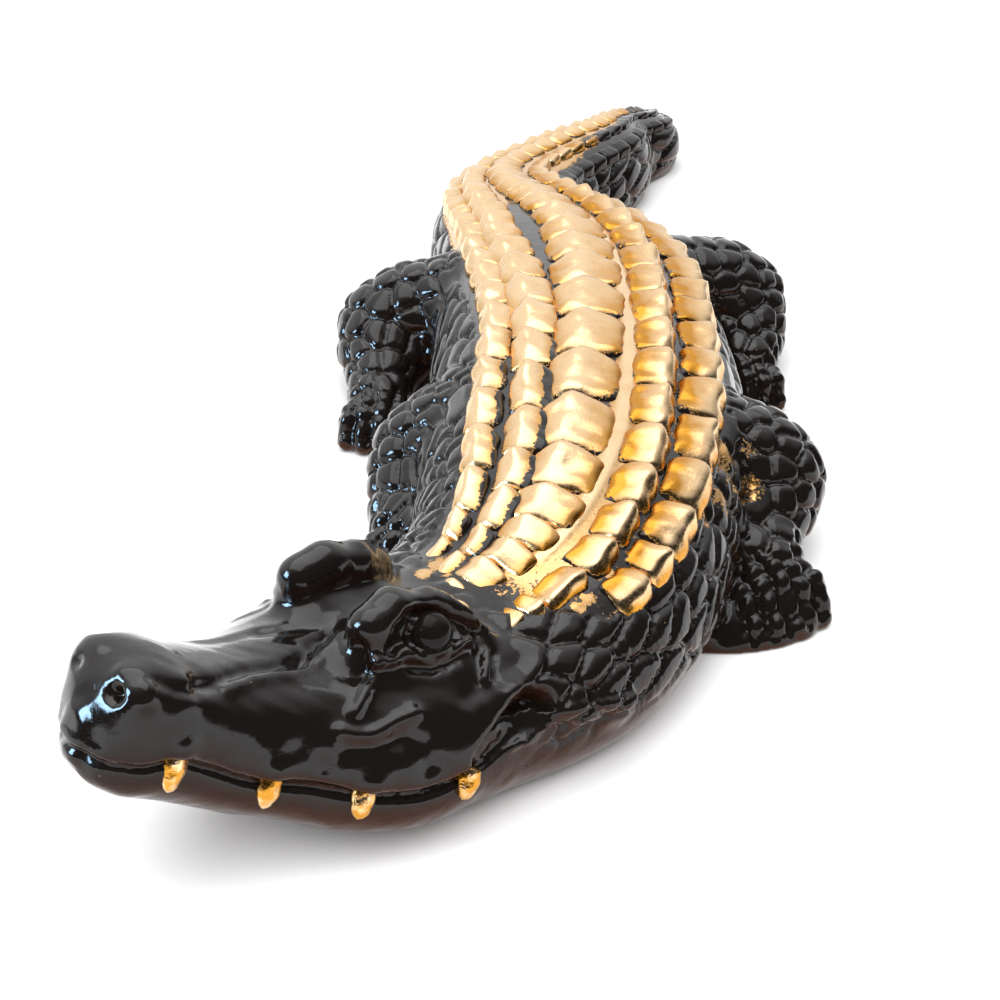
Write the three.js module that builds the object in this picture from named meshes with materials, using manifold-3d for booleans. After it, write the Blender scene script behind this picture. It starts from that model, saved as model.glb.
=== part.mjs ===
// A lying crocodile, cast in one piece: plaster, lacquered black, with gold leaf on the back.
// Millimetres, +Z up, resting on its flat underside. The tail lies towards +Y; the head is
// turned to the animal's right, so the nose points to -X and -Y.
import * as THREE from 'three';
import { mergeVertices } from 'three/addons/utils/BufferGeometryUtils.js';
import Module from 'manifold-3d';

const wasm = await Module();
wasm.setup();

// Driving sizes of the casting
const CENTRE = { x: 0.84, y: 7.44 };
const RING_SIDES = 20;
const TRUNK_STEPS = 36;
const WIDEST_AT = 0.36;
const UNDERCUT = 6;
const BACK_SQUARENESS = 2.35;
const SIDE_SQUARENESS = 2.1;

// The trunk and tail from inside the skull to the tip of the tail:
// plan x, plan y, half width, height
const SPINE = [
  [-20, -147, 20, 25], [-8, -138, 27, 33], [4, -126, 32, 37.5], [12, -109, 34, 41],
  [16.5, -89, 36, 44], [19, -66, 38, 46], [20.5, -42, 39, 47], [20.5, -15, 38.5, 46.5],
  [19, 12, 37.5, 45], [15, 38, 34, 43], [10, 58, 30, 40.5], [4.5, 78, 26, 37],
  [2.5, 96, 22.5, 33.5], [6, 113, 20, 31], [13.5, 129, 18.5, 29], [23, 144, 17.5, 28],
  [33, 160, 15, 26.5], [38.5, 176, 12, 24], [47, 192, 13, 20], [44.5, 203.5, 9.5, 15],
  [37, 208.5, 6.5, 10.5], [28, 208.5, 4, 7], [20, 205, 1.6, 3.5],
];

// The head, in its own frame: x runs forward from the back of the skull, y to the animal's left
// and z up from the throat
const HEAD = { x: -13.5, y: -141.8, yaw: 40.8, pitch: 16.8 };
// distance forward, half width of the upper jaw, top, lip line, underside of the lower jaw
const JAWS = [
  [86.5, 4, 21, 13.5, 9.5], [84.5, 9, 26, 13.2, 7], [80, 12.5, 30, 13.5, 4.5],
  [74, 14, 31, 14.5, 3], [67, 13.5, 28.2, 13.5, 1], [58, 16.5, 26.5, 11, -1.5],
  [48, 21, 27.2, 9, -3.5], [38, 26, 29, 8.2, -4.8], [28, 29.5, 31.5, 8.2, -5],
  [18, 31, 33, 10, -4.5], [8, 30.5, 33.5, 14.5, -2.5], [0, 29, 33.5, 20, 0],
  [-8, 27, 33.5, 22, 2], [-18, 23, 32.5, 22, 4],
];
const JAW_STEPS = 18;
const JAW_SIDES = 16;
// Each jaw: what its width loses, its middle over the lip line, its reach on the lip's side and
// how square it is above and below
const UPPER_JAW = { inset: 0, middle: 3, lap: 3, above: 2.2, below: 3 };
const LOWER_JAW = { inset: 1.4, middle: -1, lap: 4, above: 2, below: 2.6 };
const BROW = { x: 20, y: 11.5, z: 25, long: 17, wide: 10, high: 16 };
const EYE = { x: 22.5, y: 15.8, z: 34.5, radius: 4.7 };
const NOSTRIL = { x: 79.5, y: 7, z: 25, radius: 4.2 };
// Teeth that hang over the lower jaw: distance forward, distance out, height of the middle
const TEETH = [[74, 12.5, 12], [56, 17, 7.7], [39.5, 24, 6.2], [17, 28.5, 8.3]];
const TOOTH = { length: 7.5, root: 2.5, point: 0.7, lean: 0.35, sides: 7 };

// Limbs, joint by joint: plan x, plan y, height, radius; then the spread of the toes
const LIMBS = [
  { joints: [[44, -62, 24, 12], [60, -59, 17, 15.5], [59, -77, 11, 9.5], [61, -91, 7.5, 8.5]],
    toes: 4, heading: -72, fan: 20, reach: 10.5 },
  { joints: [[-2, -54, 24, 12], [-15, -52, 17, 15], [-20, -66, 11, 10], [-21, -78, 7.5, 8.5]],
    toes: 4, heading: -98, fan: 20, reach: 12 },
  { joints: [[42, 36, 24, 13], [63, 45, 14.5, 16], [67, 27, 9, 9], [66, 15, 6, 7]],
    toes: 4, heading: -84, fan: 20, reach: 10 },
  { joints: [[-4, 22, 24, 13], [-28, 26, 14.5, 15.5], [-32, 6, 9, 8.5], [-32, -10, 6, 7]],
    toes: 4, heading: -94, fan: 20, reach: 10 },
];
const LIMB_SIDES = 10;
const LIMB_STEPS = 6;
const LIMB_END = [0.3, 0.8];
// Radii of a toe, how far the outer ones are set in and cut short, and the knuckle's place
const TOE = { knuckle: 3.8, tip: 2.4, inset: 2.66, short: 0.14, bend: 0.5, rise: 0.5, sides: 5, steps: 3 };
const CHEST_PAD = { x: 49, y: -96, long: 13, wide: 21, high: 9 };

// Rows of scutes on the back, by the share of the half width where their middle lies
const ROWS = [
  { name: 'outer right', across: -0.6, wide: 6.6, from: 24, to: 262 },
  { name: 'inner right', across: -0.34, wide: 8.4, from: 18, to: 256 },
  { name: 'middle', across: -0.03, wide: 15.5, from: 14, to: 250 },
  { name: 'inner left', across: 0.37, wide: 9.4, from: 16, to: 256 },
  { name: 'outer left', across: 0.67, wide: 8.6, from: 22, to: 262 },
];
// Heights of a scute over the back, the gap between two, how much the rim draws in, and where
// its toe and its crest lie along it
const SCUTE = { root: 2.2, edge: 0.9, toe: 1.4, crest: 3.2, gap: 0.06, rim: 0.86, toeAt: 0.12, crestAt: 0.82 };
// Length of a scute on the nape, on the back and on the tail, and where it goes over to the next
const SCUTE_LENGTH = { nape: 8, back: 20.5, tail: 11, napeEnds: [10, 75], tailStarts: [150, 270] };
// Half width of the trunk where the rows have their full width, and the least share of it
const FULL_ROW = { half: 38, least: 0.45 };

// A smooth curve through the rows of a table, one value for each column
function smoothTable(rows, at) {
  const last = rows.length - 1;
  const i = Math.min(Math.floor(at), last - 1);
  const t = at - i;
  const before = rows[Math.max(i - 1, 0)];
  const a = rows[i];
  const b = rows[i + 1];
  const after = rows[Math.min(i + 2, last)];
  return a.map((_, k) => {
    const slopeA = (b[k] - before[k]) / (i > 0 ? 2 : 1);
    const slopeB = (after[k] - a[k]) / (i + 1 < last ? 2 : 1);
    const t2 = t * t;
    const t3 = t2 * t;
    return (2 * t3 - 3 * t2 + 1) * a[k] + (t3 - 2 * t2 + t) * slopeA
      + (3 * t2 - 2 * t3) * b[k] + (t3 - t2) * slopeB;
  });
}

// Arc length along the spine at each step, so that places on it can be given in millimetres
const SPINE_STEPS = 220;
const spineTable = [];
for (let i = 0; i <= SPINE_STEPS; i += 1) {
  const at = (i / SPINE_STEPS) * (SPINE.length - 1);
  const [x, y] = smoothTable(SPINE, at);
  const previous = spineTable[i - 1];
  const length = previous ? previous.length + Math.hypot(x - previous.x, y - previous.y) : 0;
  spineTable.push({ at, x, y, length });
}
const SPINE_LENGTH = spineTable[SPINE_STEPS].length;

function spineAt(length) {
  const wanted = THREE.MathUtils.clamp(length, 0, SPINE_LENGTH);
  let i = 1;
  while (spineTable[i].length < wanted && i < SPINE_STEPS) i += 1;
  const a = spineTable[i - 1];
  const b = spineTable[i];
  const at = THREE.MathUtils.mapLinear(wanted, a.length, b.length, a.at, b.at);
  const [x, y, half, height] = smoothTable(SPINE, at);
  const along = new THREE.Vector3(b.x - a.x, b.y - a.y, 0).normalize();
  const side = new THREE.Vector3(along.y, -along.x, 0);
  return { centre: new THREE.Vector3(x, y, 0), along, side, half, height };
}

// Signed power, the building block of the rounded square sections
const squared = (value, power) => Math.sign(value) * Math.abs(value) ** (2 / power);

// One ring of the trunk, anticlockwise seen from the head
function trunkRing(length) {
  const { centre, side, half, height } = spineAt(length);
  const widest = height * WIDEST_AT;
  const ring = [];
  for (let k = 0; k < RING_SIDES; k += 1) {
    const angle = (k / RING_SIDES) * 2 * Math.PI;
    const up = Math.sin(angle);
    const power = up > 0 ? BACK_SQUARENESS : SIDE_SQUARENESS;
    const z = widest + squared(up, power) * (up > 0 ? height - widest : widest + UNDERCUT);
    ring.push(centre.clone().addScaledVector(side, half * squared(Math.cos(angle), power)).setZ(z));
  }
  return ring;
}

// A closed skin over a row of rings that all have the same number of points
function loft(rings) {
  const sides = rings[0].length;
  const points = rings.flat();
  const faces = [];
  for (let i = 0; i + 1 < rings.length; i += 1) {
    for (let k = 0; k < sides; k += 1) {
      const a = i * sides + k;
      const b = i * sides + ((k + 1) % sides);
      faces.push(a, b, b + sides, a, b + sides, a + sides);
    }
  }
  for (const [ring, first, flip] of [[rings[0], 0, true], [rings.at(-1), points.length - sides, false]]) {
    const middle = points.length;
    points.push(ring.reduce((sum, p) => sum.add(p), new THREE.Vector3()).divideScalar(sides));
    for (let k = 0; k < sides; k += 1) {
      const a = first + k;
      const b = first + ((k + 1) % sides);
      faces.push(...(flip ? [b, a, middle] : [a, b, middle]));
    }
  }
  const geometry = new THREE.BufferGeometry().setFromPoints(points);
  geometry.setIndex(faces);
  return geometry;
}

function solidOf(geometry) {
  const bare = geometry.clone();
  bare.deleteAttribute('normal');
  bare.deleteAttribute('uv');
  const welded = mergeVertices(bare, 1e-4);
  return new wasm.Manifold(new wasm.Mesh({
    numProp: 3,
    vertProperties: new Float32Array(welded.attributes.position.array),
    triVerts: new Uint32Array(welded.index.array),
  }));
}

const trunkRings = [];
for (let i = TRUNK_STEPS; i >= 0; i -= 1) trunkRings.push(trunkRing((i / TRUNK_STEPS) * SPINE_LENGTH));
let cast = solidOf(loft(trunkRings));

// From the head's own frame to the casting's
const yaw = THREE.MathUtils.degToRad(HEAD.yaw);
const pitch = THREE.MathUtils.degToRad(HEAD.pitch);
const level = new THREE.Vector3(-Math.cos(yaw), -Math.sin(yaw), 0);
const forward = level.clone().multiplyScalar(Math.cos(pitch)).setZ(Math.sin(pitch));
const leftward = new THREE.Vector3(Math.sin(yaw), -Math.cos(yaw), 0);
const headMatrix = new THREE.Matrix4()
  .makeBasis(forward, leftward, new THREE.Vector3().crossVectors(forward, leftward))
  .setPosition(HEAD.x, HEAD.y, 0);

// One ring of a jaw: the upper one ends at its lap below the lip line, the lower one above it
function jawRing(at, jaw) {
  const [x, half, top, lip, bottom] = smoothTable(JAWS, at);
  const middle = lip + jaw.middle;
  const above = jaw === UPPER_JAW ? top - middle : jaw.lap;
  const below = jaw === UPPER_JAW ? jaw.lap : middle - bottom;
  const ring = [];
  for (let k = 0; k < JAW_SIDES; k += 1) {
    const angle = (k / JAW_SIDES) * 2 * Math.PI;
    const up = Math.sin(angle);
    const power = up > 0 ? jaw.above : jaw.below;
    const y = (jaw.inset - half) * squared(Math.cos(angle), power);
    ring.push(new THREE.Vector3(x, y, middle + (up > 0 ? above : below) * squared(up, power)));
  }
  return ring;
}
for (const jaw of [UPPER_JAW, LOWER_JAW]) {
  const rings = [];
  for (let i = 0; i <= JAW_STEPS; i += 1) rings.push(jawRing((i / JAW_STEPS) * (JAWS.length - 1), jaw));
  cast = cast.add(solidOf(loft(rings).applyMatrix4(headMatrix)));
}

for (const side of [1, -1]) {
  const brow = new THREE.SphereGeometry(1, 12, 8).scale(BROW.long, BROW.wide, BROW.high)
    .translate(BROW.x, side * BROW.y, BROW.z);
  const eye = new THREE.SphereGeometry(EYE.radius, 10, 8).translate(EYE.x, side * EYE.y, EYE.z);
  const nostril = new THREE.SphereGeometry(NOSTRIL.radius, 8, 6)
    .translate(NOSTRIL.x, side * NOSTRIL.y, NOSTRIL.z);
  for (const form of [brow, eye, nostril]) cast = cast.add(solidOf(form.applyMatrix4(headMatrix)));
  for (const [x, out, z] of TEETH) {
    const tooth = new THREE.CylinderGeometry(TOOTH.root, TOOTH.point, TOOTH.length, TOOTH.sides)
      .rotateX(Math.PI / 2).rotateY(TOOTH.lean).translate(x, side * out, z);
    cast = cast.add(solidOf(tooth.applyMatrix4(headMatrix)));
  }
}

// A rounded limb through a few joints
function limb(joints, sides, steps) {
  const rings = [];
  const places = joints.map(([x, y, z]) => new THREE.Vector3(x, y, z));
  const curve = new THREE.CatmullRomCurve3(places, false, 'centripetal');
  const radii = joints.map((joint) => [joint[3]]);
  const place = (t, shift, scale) => {
    const centre = curve.getPoint(t);
    const along = curve.getTangent(t);
    const side = new THREE.Vector3(0, 0, 1).cross(along).normalize();
    const lift = new THREE.Vector3().crossVectors(along, side);
    const [radius] = smoothTable(radii, t * (joints.length - 1));
    const ring = [];
    for (let k = 0; k < sides; k += 1) {
      const angle = (k / sides) * 2 * Math.PI;
      ring.push(centre.clone()
        .addScaledVector(along, shift * radius)
        .addScaledVector(side, scale * radius * Math.cos(angle))
        .addScaledVector(lift, scale * radius * Math.sin(angle)));
    }
    return ring;
  };
  for (const c of LIMB_END) rings.push(place(0, -Math.sqrt(1 - c * c), c));
  for (let i = 0; i <= steps; i += 1) rings.push(place(i / steps, 0, 1));
  for (const c of [...LIMB_END].reverse()) rings.push(place(1, Math.sqrt(1 - c * c), c));
  return loft(rings);
}

for (const { joints, toes, heading, fan, reach } of LIMBS) {
  cast = cast.add(solidOf(limb(joints, LIMB_SIDES, LIMB_STEPS)));
  const [x, y, z, radius] = joints.at(-1);
  for (let i = 0; i < toes; i += 1) {
    const share = (2 * i) / (toes - 1) - 1;
    const angle = THREE.MathUtils.degToRad(heading + share * fan);
    const across = THREE.MathUtils.degToRad(heading + 90);
    const out = share * (radius - TOE.inset);
    const long = reach * (1 - TOE.short * share * share);
    const at = (d, h, r) => [
      x + out * Math.cos(across) + d * Math.cos(angle),
      y + out * Math.sin(across) + d * Math.sin(angle), h, r,
    ];
    const bend = at(long * TOE.bend, z + TOE.rise, TOE.knuckle);
    const toe = [at(0, z, TOE.knuckle), bend, at(long, TOE.tip, TOE.tip)];
    cast = cast.add(solidOf(limb(toe, TOE.sides, TOE.steps)));
  }
}
const pad = new THREE.SphereGeometry(1, 16, 8).scale(CHEST_PAD.wide, CHEST_PAD.long, CHEST_PAD.high)
  .translate(CHEST_PAD.x, CHEST_PAD.y, 0);
cast = cast.add(solidOf(pad));

// A point on the trunk's back, by the distance along, the distance across and the height above it
function onBack(length, across, lift) {
  const { centre, side, half, height } = spineAt(length);
  const widest = height * WIDEST_AT;
  const surface = (a) => {
    const share = Math.min(Math.abs(a / half), 1) ** BACK_SQUARENESS;
    return widest + (height - widest) * (1 - share) ** (1 / BACK_SQUARENESS);
  };
  const slope = surface(across + 0.5) - surface(across - 0.5);
  const tilt = Math.hypot(1, slope);
  return centre.clone().addScaledVector(side, across - (lift * slope) / tilt)
    .setZ(surface(across) + lift / tilt);
}

// Length of a scute at a distance along the spine: small on the nape, long on the back
function scuteLength(length) {
  const { nape, back, tail, napeEnds, tailStarts } = SCUTE_LENGTH;
  const grown = THREE.MathUtils.smoothstep(length, ...napeEnds);
  const shrunk = THREE.MathUtils.smoothstep(length, ...tailStarts);
  return THREE.MathUtils.lerp(nape, back, grown) + (tail - back) * shrunk;
}

// A keeled shell that rises from its toe, nearest the head, to a crest before its tail end
function scute(start, length, middle, wide) {
  const half = wide / 2;
  const end = start + length * (1 - SCUTE.gap);
  const points = [];
  for (const lift of [-SCUTE.root, SCUTE.edge]) {
    for (const [s, a] of [[start, -half], [start, half], [end, half], [end, -half]]) {
      const drawn = lift > 0 ? SCUTE.rim : 1;
      points.push(onBack(s, middle + a * drawn, lift));
    }
  }
  points.push(onBack(start + length * SCUTE.toeAt, middle, SCUTE.toe));
  points.push(onBack(start + length * SCUTE.crestAt, middle, SCUTE.crest));
  const faces = [0, 2, 1, 0, 3, 2, 0, 1, 5, 0, 5, 4, 1, 2, 6, 1, 6, 5, 2, 3, 7, 2, 7, 6, 3, 0, 4, 3, 4, 7,
    4, 5, 8, 5, 6, 9, 5, 9, 8, 6, 7, 9, 7, 4, 8, 7, 8, 9];
  const geometry = new THREE.BufferGeometry().setFromPoints(points);
  geometry.setIndex(faces);
  return geometry;
}

for (const { across, wide, from, to } of ROWS) {
  let start = from;
  while (start < to) {
    const length = scuteLength(start);
    const { half } = spineAt(start);
    const narrowing = THREE.MathUtils.clamp(half / FULL_ROW.half, FULL_ROW.least, 1);
    cast = cast.add(solidOf(scute(start, length, across * half, wide * narrowing)));
    start += length;
  }
}

// Everything below the table is cut away, which leaves the flat underside
const TABLE = { across: 600, deep: 60 };
const table = new THREE.BoxGeometry(TABLE.across, TABLE.across, TABLE.deep).translate(0, 0, -TABLE.deep / 2);
cast = cast.subtract(solidOf(table));

const cut = cast.getMesh();
const geometry = new THREE.BufferGeometry();
geometry.setAttribute('position', new THREE.BufferAttribute(new Float32Array(cut.vertProperties), 3));
geometry.setIndex(new THREE.BufferAttribute(new Uint32Array(cut.triVerts), 1));
geometry.translate(-CENTRE.x, -CENTRE.y, 0);

const lacquer = new THREE.MeshStandardMaterial({ color: 0x0b0b0d, roughness: 0.12, metalness: 0 });
const crocodile = new THREE.Mesh(geometry, lacquer);
crocodile.name = 'crocodile';

const group = new THREE.Group();
group.add(crocodile);
export default group;
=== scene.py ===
# A lying crocodile with its head turned to one side, cast in one piece in plaster, lacquered
# gloss black, with worn gold leaf on the scutes of its back and on its teeth.
#
# The forms are laid out in millimetres on a plan where +Y runs from the head to the tail and +X
# to the animal's left, and are moved to the middle of the footprint when they become a mesh.

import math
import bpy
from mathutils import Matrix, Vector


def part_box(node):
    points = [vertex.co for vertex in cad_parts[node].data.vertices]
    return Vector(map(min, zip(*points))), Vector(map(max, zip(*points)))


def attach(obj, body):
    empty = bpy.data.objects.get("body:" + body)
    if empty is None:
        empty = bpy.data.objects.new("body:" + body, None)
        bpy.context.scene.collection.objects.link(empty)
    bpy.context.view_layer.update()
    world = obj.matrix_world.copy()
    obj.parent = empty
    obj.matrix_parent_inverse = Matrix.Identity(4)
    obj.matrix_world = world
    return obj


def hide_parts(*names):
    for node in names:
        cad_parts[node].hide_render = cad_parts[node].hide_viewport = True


bl_info = {
    "name": "Gilded crocodile",
    "version": (1, 0, 0),
    "blender": (4, 5, 0),
    "location": "3D View > Sidebar > Crocodile",
    "description": "Models a lacquered crocodile casting with gold leaf on its back and teeth",
    "category": "Add Mesh",
}

from itertools import pairwise, product

import bpy
import numpy as np
from bpy.props import FloatProperty, FloatVectorProperty, IntProperty, PointerProperty
from mathutils import Matrix, Vector
from mathutils.kdtree import KDTree

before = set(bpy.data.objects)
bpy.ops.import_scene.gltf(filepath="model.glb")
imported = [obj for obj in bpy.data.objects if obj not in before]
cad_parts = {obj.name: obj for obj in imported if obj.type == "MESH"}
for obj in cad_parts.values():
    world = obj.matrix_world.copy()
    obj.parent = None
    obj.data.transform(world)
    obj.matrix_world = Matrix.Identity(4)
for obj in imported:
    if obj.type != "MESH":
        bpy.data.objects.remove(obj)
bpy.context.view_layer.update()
CAD_LOW, CAD_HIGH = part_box("crocodile")
MM = 0.001

# The middle of the footprint on the plan
CENTRE = np.array([0.84, 7.44, 0.0])

# How near to the sides of the solid's box the skin starts to ease off, and how far inside it stays
BOX = {"ease": 1.5, "inside": 0.01}
BOX_LOW = CENTRE + np.array(CAD_LOW) / MM
BOX_HIGH = CENTRE + np.array(CAD_HIGH) / MM

# The trunk and tail from inside the skull to the tip of the tail:
# plan x, plan y, half width, height
SPINE = np.array([
    (-20, -147, 20, 25), (-8, -138, 27, 33), (4, -126, 32, 37.5), (12, -109, 34, 41),
    (16.5, -89, 36, 44), (19, -66, 38, 46), (20.5, -42, 39, 47), (20.5, -15, 38.5, 46.5),
    (19, 12, 37.5, 45), (15, 38, 34, 43), (10, 58, 30, 40.5), (4.5, 78, 26, 37),
    (2.5, 96, 22.5, 33.5), (6, 113, 20, 31), (13.5, 129, 18.5, 29), (23, 144, 17.5, 28),
    (33, 160, 15, 26.5), (38.5, 176, 12, 24), (47, 192, 13, 20), (44.5, 203.5, 9.5, 15),
    (37, 208.5, 6.5, 10.5), (28, 208.5, 4, 7), (20, 205, 1.6, 3.5),
])
SPINE_SAMPLES = 320
# The trunk's section: how high up it is widest, as a share of its height, how far its round runs on
# under the table, and how square its back and its sides are
WIDEST_AT = 0.36
UNDERCUT = 6
BACK_SQUARENESS = 2.35
SIDE_SQUARENESS = 2.1

# The head, in its own frame: x runs forward from the back of the skull, y to the animal's left
# and z up from the throat
HEAD = {"x": -13.5, "y": -141.8, "yaw": math.radians(40.8), "pitch": math.radians(16.8)}
# The jaws: distance forward, half width of the upper jaw, top, lip line, underside of the lower jaw
JAWS = np.array([
    (86.5, 4, 21, 13.5, 9.5), (84.5, 9, 26, 13.2, 7), (80, 12.5, 30, 13.5, 4.5),
    (74, 14.2, 30.7, 14.7, 3), (67, 15, 28.9, 12.6, 1), (58, 17.2, 27, 9.6, -1.5),
    (48, 21, 27.2, 8.9, -3.5), (38, 26, 29, 8, -5.8), (28, 29.5, 31.5, 8.6, -6.2),
    (18, 31, 33, 12.4, -5.5), (8, 30.5, 33.5, 17.5, -3.5), (0, 29, 33.5, 21, 0),
    (-8, 27, 33.5, 22, 2), (-18, 23, 32.5, 22, 4),
])
JAW_SAMPLES = 200
# A jaw's section: how much narrower it is than the table says, where its middle lies over the lip
# line, how far it reaches from there towards the other jaw, and how square it is above and below
UPPER_JAW = {"inset": 0, "middle": 3, "lap": 3, "above": 2.2, "below": 3}
LOWER_JAW = {"inset": 1.0, "middle": -1, "lap": 4, "above": 2, "below": 2.6}
# A box that holds the head: distances forward, to the side and up
HEAD_REACH = ((-26, 90), (-34, 34), (-8, 46))

# Forms of the left half of the head as chains of balls: x, y, z, radius
BROW_MASS = [(30, 10, 27, 8), (20, 11.5, 27, 8.5), (9, 12, 25, 7.5)]
BROW_ROLL = [
    (34.8, 12.8, 30.5, 3.2), (34.2, 11.2, 35, 4.2), (29.5, 10.6, 37.6, 4.4), (22, 11.3, 36.9, 4.4),
    (15.5, 12.8, 35, 4.0), (9.5, 15.4, 31.5, 2.8),
]
NOSTRIL = [(79.5, 7, 25, 4.2), (75, 8, 24, 4)]
# The left eye, with the number of its rings and its sides and how near to its poles the rings start
EYE = {"place": (23.2, 15.6, 34.9), "radius": 4.2, "rings": 25, "sides": 36, "pole": 0.02}

# Limbs, joint by joint: plan x, plan y, height, radius; then the heading and the reach of the toes
# and the heading of the carved fingers, in degrees round from the animal's left
LIMBS = [
    {"joints": [(44, -62, 24, 12), (60, -59, 17, 15.5), (59, -77, 11, 9.5), (61, -91, 7.5, 8.5)],
     "heading": -72, "reach": 10.5, "fingers": -56},
    {"joints": [(-2, -54, 24, 12), (-15, -52, 17, 15), (-20, -66, 11, 10), (-21, -78, 7.5, 8.5)],
     "heading": -98, "reach": 12, "fingers": -110},
    {"joints": [(42, 36, 24, 13), (63, 45, 14.5, 16), (67, 27, 9, 9), (66, 15, 6, 7)],
     "heading": -84, "reach": 10, "fingers": -75},
    {"joints": [(-4, 22, 24, 13), (-28, 26, 14.5, 15.5), (-32, 6, 9, 8.5), (-32, -10, 6, 7)],
     "heading": -94, "reach": 10, "fingers": -100},
]
LIMB_SEGMENTS = 8
# The toes of a foot: their number, how far to each side they fan out in degrees, their radii at
# the knuckle and the tip, how far in from the foot's side the outer ones start and how much
# shorter they are, and where along a toe its knuckle lies and how far that rises
TOE = {"count": 4, "fan": 20, "knuckle": 3.8, "tip": 2.4, "inset": 2.66, "short": 0.14, "bend": 0.5,
       "rise": 0.5}
# The pad under the chest: its middle on the plan and its half sizes
CHEST_PAD = {"x": 49, "y": -96, "wide": 21, "long": 13, "high": 9}

# How far two forms melt into each other where they meet, and the balls of one chain likewise
MELT = {"limb": 5, "toe": 1.6, "head": 7, "brow": 3, "roll": 1.2, "nostril": 4, "lip": 0.4, "pad": 4}
CHAIN_MELT = {"limb": 2, "brow": 3, "roll": 2, "fold": 0.5}

GRID = {"below": 1.5, "round_box": 2, "round_limb": 8, "round_toe": 3, "quick": 1.5}
EASING = {"rounds": 3, "share": 0.5}

# Rows of scutes on the back, from the right to the left. For each: where its middle lies at the
# stations along the spine, as a share of the half width; the width of a scute and its share at
# the nape; where its keel lies, from -1 at its right edge to 1 at its left one; how much of its
# left edge is bare near the head; how deep the painted shade is on its flanks; and where along
# the spine the leaf ends and the scutes start
ROW_STATIONS = (15, 28, 75, 130, 190, 260)
ROWS = [
    {"across": (-0.5, -0.5, -0.585, -0.56, -0.68, -0.75), "wide": 9.0, "nape": 0.75, "keel": -0.1,
     "bare": 0.14, "deep": 0.1, "leaf_ends": 395,
     "starts": (18, 27, 40, 57, 75, 91, 105, 121, 136, 151, 166)},
    {"across": (-0.26, -0.26, -0.3, -0.34, -0.5, -0.5), "wide": 12.2, "nape": 0.75, "keel": -0.15,
     "bare": 0.27, "deep": 0.15, "leaf_ends": 390,
     "starts": (15, 24, 34, 48, 62, 79, 98, 114, 131, 149, 167)},
    {"across": (-0.07, 0.01, -0.02, 0.0, 0.02, -0.12), "wide": 18.6, "nape": 0.85, "keel": -0.2,
     "bare": 0.0, "deep": 0.45, "leaf_ends": 352,
     "starts": (9.5, 17.5, 25, 31.5, 39, 50, 64, 84, 104, 124, 143, 161)},
    {"across": (0.46, 0.43, 0.41, 0.39, 0.41, 0.32), "wide": 11.0, "nape": 0.95, "keel": 0.4,
     "bare": 0.0, "deep": 1.0, "leaf_ends": 305,
     "starts": (15, 19.5, 24, 33, 41, 51, 63, 77, 93, 109, 124, 140, 156)},
    {"across": (0.72, 0.7, 0.69, 0.67, 0.74, 0.7), "wide": 10.8, "nape": 0.72, "keel": 0.3,
     "bare": 0.0, "deep": 1.0, "leaf_ends": 238,
     "starts": (32, 39, 46, 58, 72, 88, 104, 117, 131, 145, 159)},
]
# Length of the scutes beyond the listed ones, at places along the spine
TAIL_SCUTES = [(160, 15), (190, 13), (240, 11), (320, 8), (405, 5)]
ROWS_END = 390
# A scute's height at its toe and its crest and where that stands; how far its tail end bows; the
# gap behind it; how deep it is rooted in the skin; how squarely its rim turns down; the height of
# its edges as a share; how hollow its flanks and how blunt its keel are; how uneven its width is
# and at what pace; size, depth and seeds of its dents; and its columns and rows of corners
SCUTE = {
    "toe": 2.6, "crest": 5.0, "crest_at": 0.9, "bow": 0.15, "gap": 0.03, "root": 3.0, "square": 8,
    "turn": 0.4, "edge": 0.4, "hollow": 1.7, "blunt": 0.08, "uneven": 0.05, "pace": 7.3,
    "dents": 7, "dent": 0.35, "dent_seeds": (11, 12, 13), "columns": 19, "rows": 19,
}
# Leaf on a scute: the height up to which it is torn and how fast it thickens over that; how far it
# laps over the left edge where that isn't bare; the stretch of the spine over which bare edges
# end; the length over which the leaf ends; how fast the painted shade deepens down the flanks; and
# the head end, which faces the light, that the painted shade leaves out
SCUTE_LEAF = {"torn": 0.5, "thickens": 0.9, "laps": 2, "bare": 0.05, "bare_ends": (125, 80), "ends": 10,
              "shade_deepens": 1.5, "unshaded_end": (-1, -0.6)}
# The stretch of the nape over which the scutes grow, and the share of their height before it
NAPE_SIZE = {"ends": (14, 50), "high": 0.75}
# The half width of the trunk that carries rows of full size, and their least size as a share
FULL_ROW = {"half": 38, "least": 0.34}
# The smooth gold band beside the middle row: where its middle lies at the stations; width and
# height; where it comes and goes; how far its leaf reaches, in half widths, and how steeply it
# ends across and along
BAND = {"across": (0.14, 0.16, 0.245, 0.24, 0.22, 0.1), "wide": 4.6, "high": 0.7, "comes": (24, 34),
        "goes": (230, 200), "leaf": 1.3, "steep": 2, "fades": 3}
# The strip that the rows take up: its right and left edges, as places along the spine and shares of
# the half width, and how soft they are; where it starts, and the length over which it ends
STRIP = {
    "right": [(15, -0.42), (20, -0.68), (130, -0.7), (190, -0.86)],
    "left": [(10, 0.3), (20, 0.46), (24, 0.5), (30, 0.76), (75, 0.84)],
    "soft": 0.03, "starts": (10, 16), "ends": 8,
}
# Leaf on the skin among the rows: how far outside it the skin lies, and how much nearer left of
# the middle row on the nape, beside the band between the places where that comes and goes, and on
# the tail
AMONG_ROWS = {"outside": -1.3, "nearer": 0.9, "left": (0.02, 0.1), "nape": (12, 20),
              "beside": (0.45, 0.35), "comes": (18, 27), "goes": (90, 60), "tail": (190, 230)}
# Leaf on the tail: where it starts, its left edge as places along the spine and shares of the half
# width, how steeply it ends there and how far inside it a place can lie
TAIL_LEAF = {"starts": 205, "edge": [(205, -0.74), (240, 0.5), (285, 0.62), (305, 0.5), (350, 0.0)],
             "steep": 0.5, "most": 1.2}
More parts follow.
